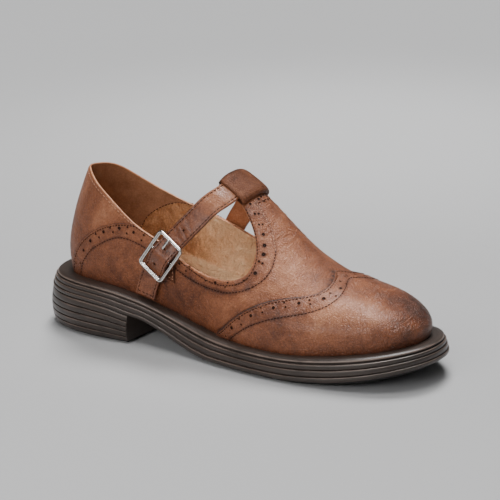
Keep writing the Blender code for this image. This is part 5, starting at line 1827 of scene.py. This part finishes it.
# across the T bar, under the loop's front edge
BAR_STITCH = ((0.5445, -0.105), (0.5470, -0.05), (0.5475, 0.0), (0.5470, 0.05), (0.5445, 0.105))
stitch_line(dark_stitches, BAR_STITCH, UPPER_TREE)
for at, beside in ((OUTER_ARCH, 2.1), (INNER_ARCH, -2.1)):
    line = arch_line(at, beside)
    stitched(dark_stitches, UPPER_TREE, line, last_normal(line), start=1.5, end=2.6, pitch=2.1, length=1.4,
             radius=0.30)
for line in (ARCH_STITCH, mirrored(ARCH_STITCH)):
    stitch_line(dark_stitches, line, UPPER_TREE, start=1.5, end=3, pitch=2.2, length=1.4, radius=0.27)

# the cap's edge and its band
line = cap_line(1.5)
stitched(dark_stitches, CAP_TREE, line, last_normal(line), pitch=2.1, length=1.5, radius=0.30)
stitch_line(dark_stitches, WHOLE_WING_STITCH, CAP_TREE, start=2.0, end=2.0, pitch=2.1, length=1.4,
            radius=0.30)

# the heel's lining seam, inside
for side in (1, -1):
    line = last_line([(s, q * side) for s, q in LINING_SEAM[1:]])
    back = last_normal(line)
    stitched(dark_stitches, INNER_TREE, line - back * 8 * MM, -back, pitch=2.5, length=1.9)

# the strap's stitches and holes
TIP = -BUCKLE_LENGTH_AT / MM
FAR = (STRAP_LENGTH[-1] - BUCKLE_LENGTH_AT) / MM
for side in (-0.78, 0.78):
    line, normals = strap_line([(d, side) for d in np.arange(TIP + 2.2, FAR - 2.5, 0.8)])
    stitched(dark_stitches, STRAP_TREE, line, normals, pitch=2.6, length=1.95, radius=0.26)
for at in (TIP + 2.2, FAR - 2.4):
    line, normals = strap_line([(at, across) for across in np.linspace(-0.66, 0.66, 13)])
    stitched(dark_stitches, STRAP_TREE, line, normals, pitch=2.4, length=1.7, radius=0.26, start=0.5, end=0.5)
for at, aside, size in ((-6.5, 0.12, 1.0), (5.3, 0.12, 1.05), (21.5, 0.0, 0.8)):
    (spot,), (normal,) = strap_line([(at, aside)])
    punched(STRAP_TREE, spot, normal, size, lift=0.12)

# the tab's stitches
TAB_LOW = TAB_SPAN[1][1] + 0.014
TAB_FRONT = TAB_SPAN[0][1] - 0.006
for line in (((TAB_SPAN[0][0] + 0.006, TAB_LOW), (0.360, TAB_LOW), (TAB_FRONT, TAB_LOW)),
             ((TAB_FRONT, TAB_LOW + 0.01), (TAB_FRONT, -0.83), (TAB_FRONT, -0.80))):
    stitch_line(light_stitches, line, TAB_TREE, pitch=2.1, length=1.4, radius=0.2)

BIG = 1.15
SMALL = 0.70
# pinholes of the outer side: s, q and radius in millimetres; the inner side has the same
HOLES = (
    # round the throat, from the T bar down and back to the buckle
    (0.550, -0.227, 1.00), (0.569, -0.261, SMALL), (0.575, -0.236, SMALL), (0.587, -0.291, BIG),
    (0.600, -0.346, 1.35), (0.607, -0.401, 1.40), (0.604, -0.464, 0.80), (0.613, -0.455, SMALL),
    (0.606, -0.544, 1.30), (0.590, -0.612, SMALL), (0.584, -0.632, SMALL), (0.566, -0.686, BIG),
    (0.543, -0.706, SMALL), (0.538, -0.736, SMALL), (0.508, -0.752, BIG), (0.484, -0.749, SMALL),
    (0.478, -0.775, SMALL), (0.447, -0.776, BIG), (0.425, -0.769, SMALL), (0.418, -0.793, SMALL),
    (0.396, -0.783, 0.90),
    # the T bar
    (0.525, -0.219, SMALL), (0.532, -0.192, 0.85), (0.529, -0.162, SMALL), (0.539, -0.084, 1.00),
    (0.538, -0.029, SMALL), (0.549, -0.042, SMALL), (0.557, -0.196, 0.75),
    # the wing, from the sole up
    (0.540, -0.967, SMALL), (0.552, -0.982, SMALL), (0.572, -0.919, BIG), (0.594, -0.847, SMALL),
    (0.601, -0.874, SMALL), (0.626, -0.794, BIG), (0.648, -0.714, SMALL), (0.655, -0.739, SMALL),
    (0.680, -0.674, BIG), (0.701, -0.597, SMALL), (0.709, -0.626, SMALL), (0.736, -0.547, BIG),
    (0.756, -0.479, SMALL), (0.763, -0.511, SMALL), (0.785, -0.406, BIG), (0.790, -0.319, SMALL),
    (0.806, -0.322, SMALL), (0.800, -0.207, BIG), (0.783, -0.122, SMALL), (0.799, -0.112, SMALL),
    (0.778, -0.010, 1.05),
    # the heel's arch
    (0.072, -0.954, SMALL), (0.091, -0.946, SMALL), (0.106, -0.884, 1.00), (0.128, -0.837, BIG),
    (0.144, -0.804, SMALL), (0.155, -0.818, SMALL), (0.168, -0.792, 1.05), (0.187, -0.771, SMALL),
    (0.197, -0.788, SMALL), (0.215, -0.767, BIG), (0.239, -0.754, SMALL), (0.238, -0.781, SMALL),
    (0.258, -0.767, 1.05), (0.288, -0.759, SMALL), (0.282, -0.786, SMALL),
)

for s, q, radius in HOLES:
    on_cap = s > 0.5 and (abs(q) > 0.80 or s > 0.615)
    for side in (1, -1):
        spot = last_line([(s, q * side), (s + 1e-4, q * side)])[0]
        punched(CAP_TREE if on_cap else UPPER_TREE, spot, last_normal([spot])[0], radius)

build("dark_stitching", *dark_stitches.parts(), dark_thread, slot="dark_leather")
build("light_stitching", *light_stitches.parts(), light_thread, slot="leather")
build("pinholes", *holes.parts(), hole_dark, slot="dark_leather")
build("pinhole_rims", *hole_rims.parts(), upper_leather, slot="leather", tone=np.full(hole_rims.count, 0.42))

# Floor, lights and camera

FLOOR_REACH = 9.0
floor_mesh = bpy.data.meshes.new("studio_floor")
corners = [(x * FLOOR_REACH, y * FLOOR_REACH, 0.0) for x, y in ((-1, -1), (1, -1), (1, 1), (-1, 1))]
floor_mesh.from_pydata(corners, [], [(0, 1, 2, 3)])
floor_mesh.materials.append(matt("studio_grey", (0.45, 0.45, 0.453), 0.9))
floor = bpy.data.objects.new("studio_floor", floor_mesh)
bpy.context.scene.collection.objects.link(floor)


def lit(light, place, target, power):
    """Puts a light in its place, turned towards its target."""
    light.energy = power
    lamp = bpy.data.objects.new(light.name, light)
    lamp.location = place
    lamp.rotation_euler = (Vector(target) - Vector(place)).to_track_quat("-Z", "Y").to_euler()
    bpy.context.scene.collection.objects.link(lamp)
    return lamp


def softbox(name, place, target, size, power):
    light = bpy.data.lights.new(name, "AREA")
    light.shape = "RECTANGLE"
    light.size, light.size_y = size
    return lit(light, place, target, power)


def spotlight(name, place, target, wide, power):
    light = bpy.data.lights.new(name, "SPOT")
    light.spot_size = math.radians(wide)
    light.spot_blend = 1.0
    light.shadow_soft_size = 0.12
    return lit(light, place, target, power)


SHOE = (0.0, 0.0, 0.04)
key = softbox("key_light", (-1.50, 2.90, 5.30), SHOE, (2.2, 1.8), 470.0)
key.visible_glossy = False
softbox("overhead_light", (0.10, -0.10, 1.62), SHOE, (0.9, 0.6), 11.0)
sheen = softbox("sheen_light", (0.06, 0.40, 1.60), SHOE, (1.2, 0.80), 44.0)
sheen.visible_diffuse = False
softbox("front_light", (0.15, -1.45, 0.75), (0.0, 0.0, 0.06), (1.3, 0.5), 13.0)
spotlight("backdrop_glow", (-0.30, 0.80, 1.20), (-0.22, 0.50, 0.0), 34.0, 30.0)
# a narrow light into the opening
spotlight("opening_light", (0.10, -0.50, 1.40), (-0.015, 0.012, 0.055), 6.5, 88.0)

world = bpy.data.worlds.new("studio_air")
world.use_nodes = True
world.node_tree.nodes["Background"].inputs["Color"].default_value = (0.86, 0.87, 0.88, 1.0)
world.node_tree.nodes["Background"].inputs["Strength"].default_value = 0.10
bpy.context.scene.world = world

VIEW_TURN = math.radians(33.5)
VIEW_RISE = math.radians(16.9)
VIEW_DISTANCE = 1.345
VIEW_TARGET = Vector((0.0, 0.0013, 0.050))
level = math.cos(VIEW_RISE)
way_out = Vector((math.sin(VIEW_TURN) * level, -math.cos(VIEW_TURN) * level, math.sin(VIEW_RISE)))
lens = bpy.data.cameras.new("photo_camera")
lens.lens = 156.7
lens.sensor_width = 36.0
lens.shift_x = 0.006
lens.shift_y = 0.030
camera = bpy.data.objects.new("photo_camera", lens)
camera.location = VIEW_TARGET + way_out * VIEW_DISTANCE
camera.rotation_euler = (-way_out).to_track_quat("-Z", "Y").to_euler()
bpy.context.scene.collection.objects.link(camera)
bpy.context.scene.camera = camera
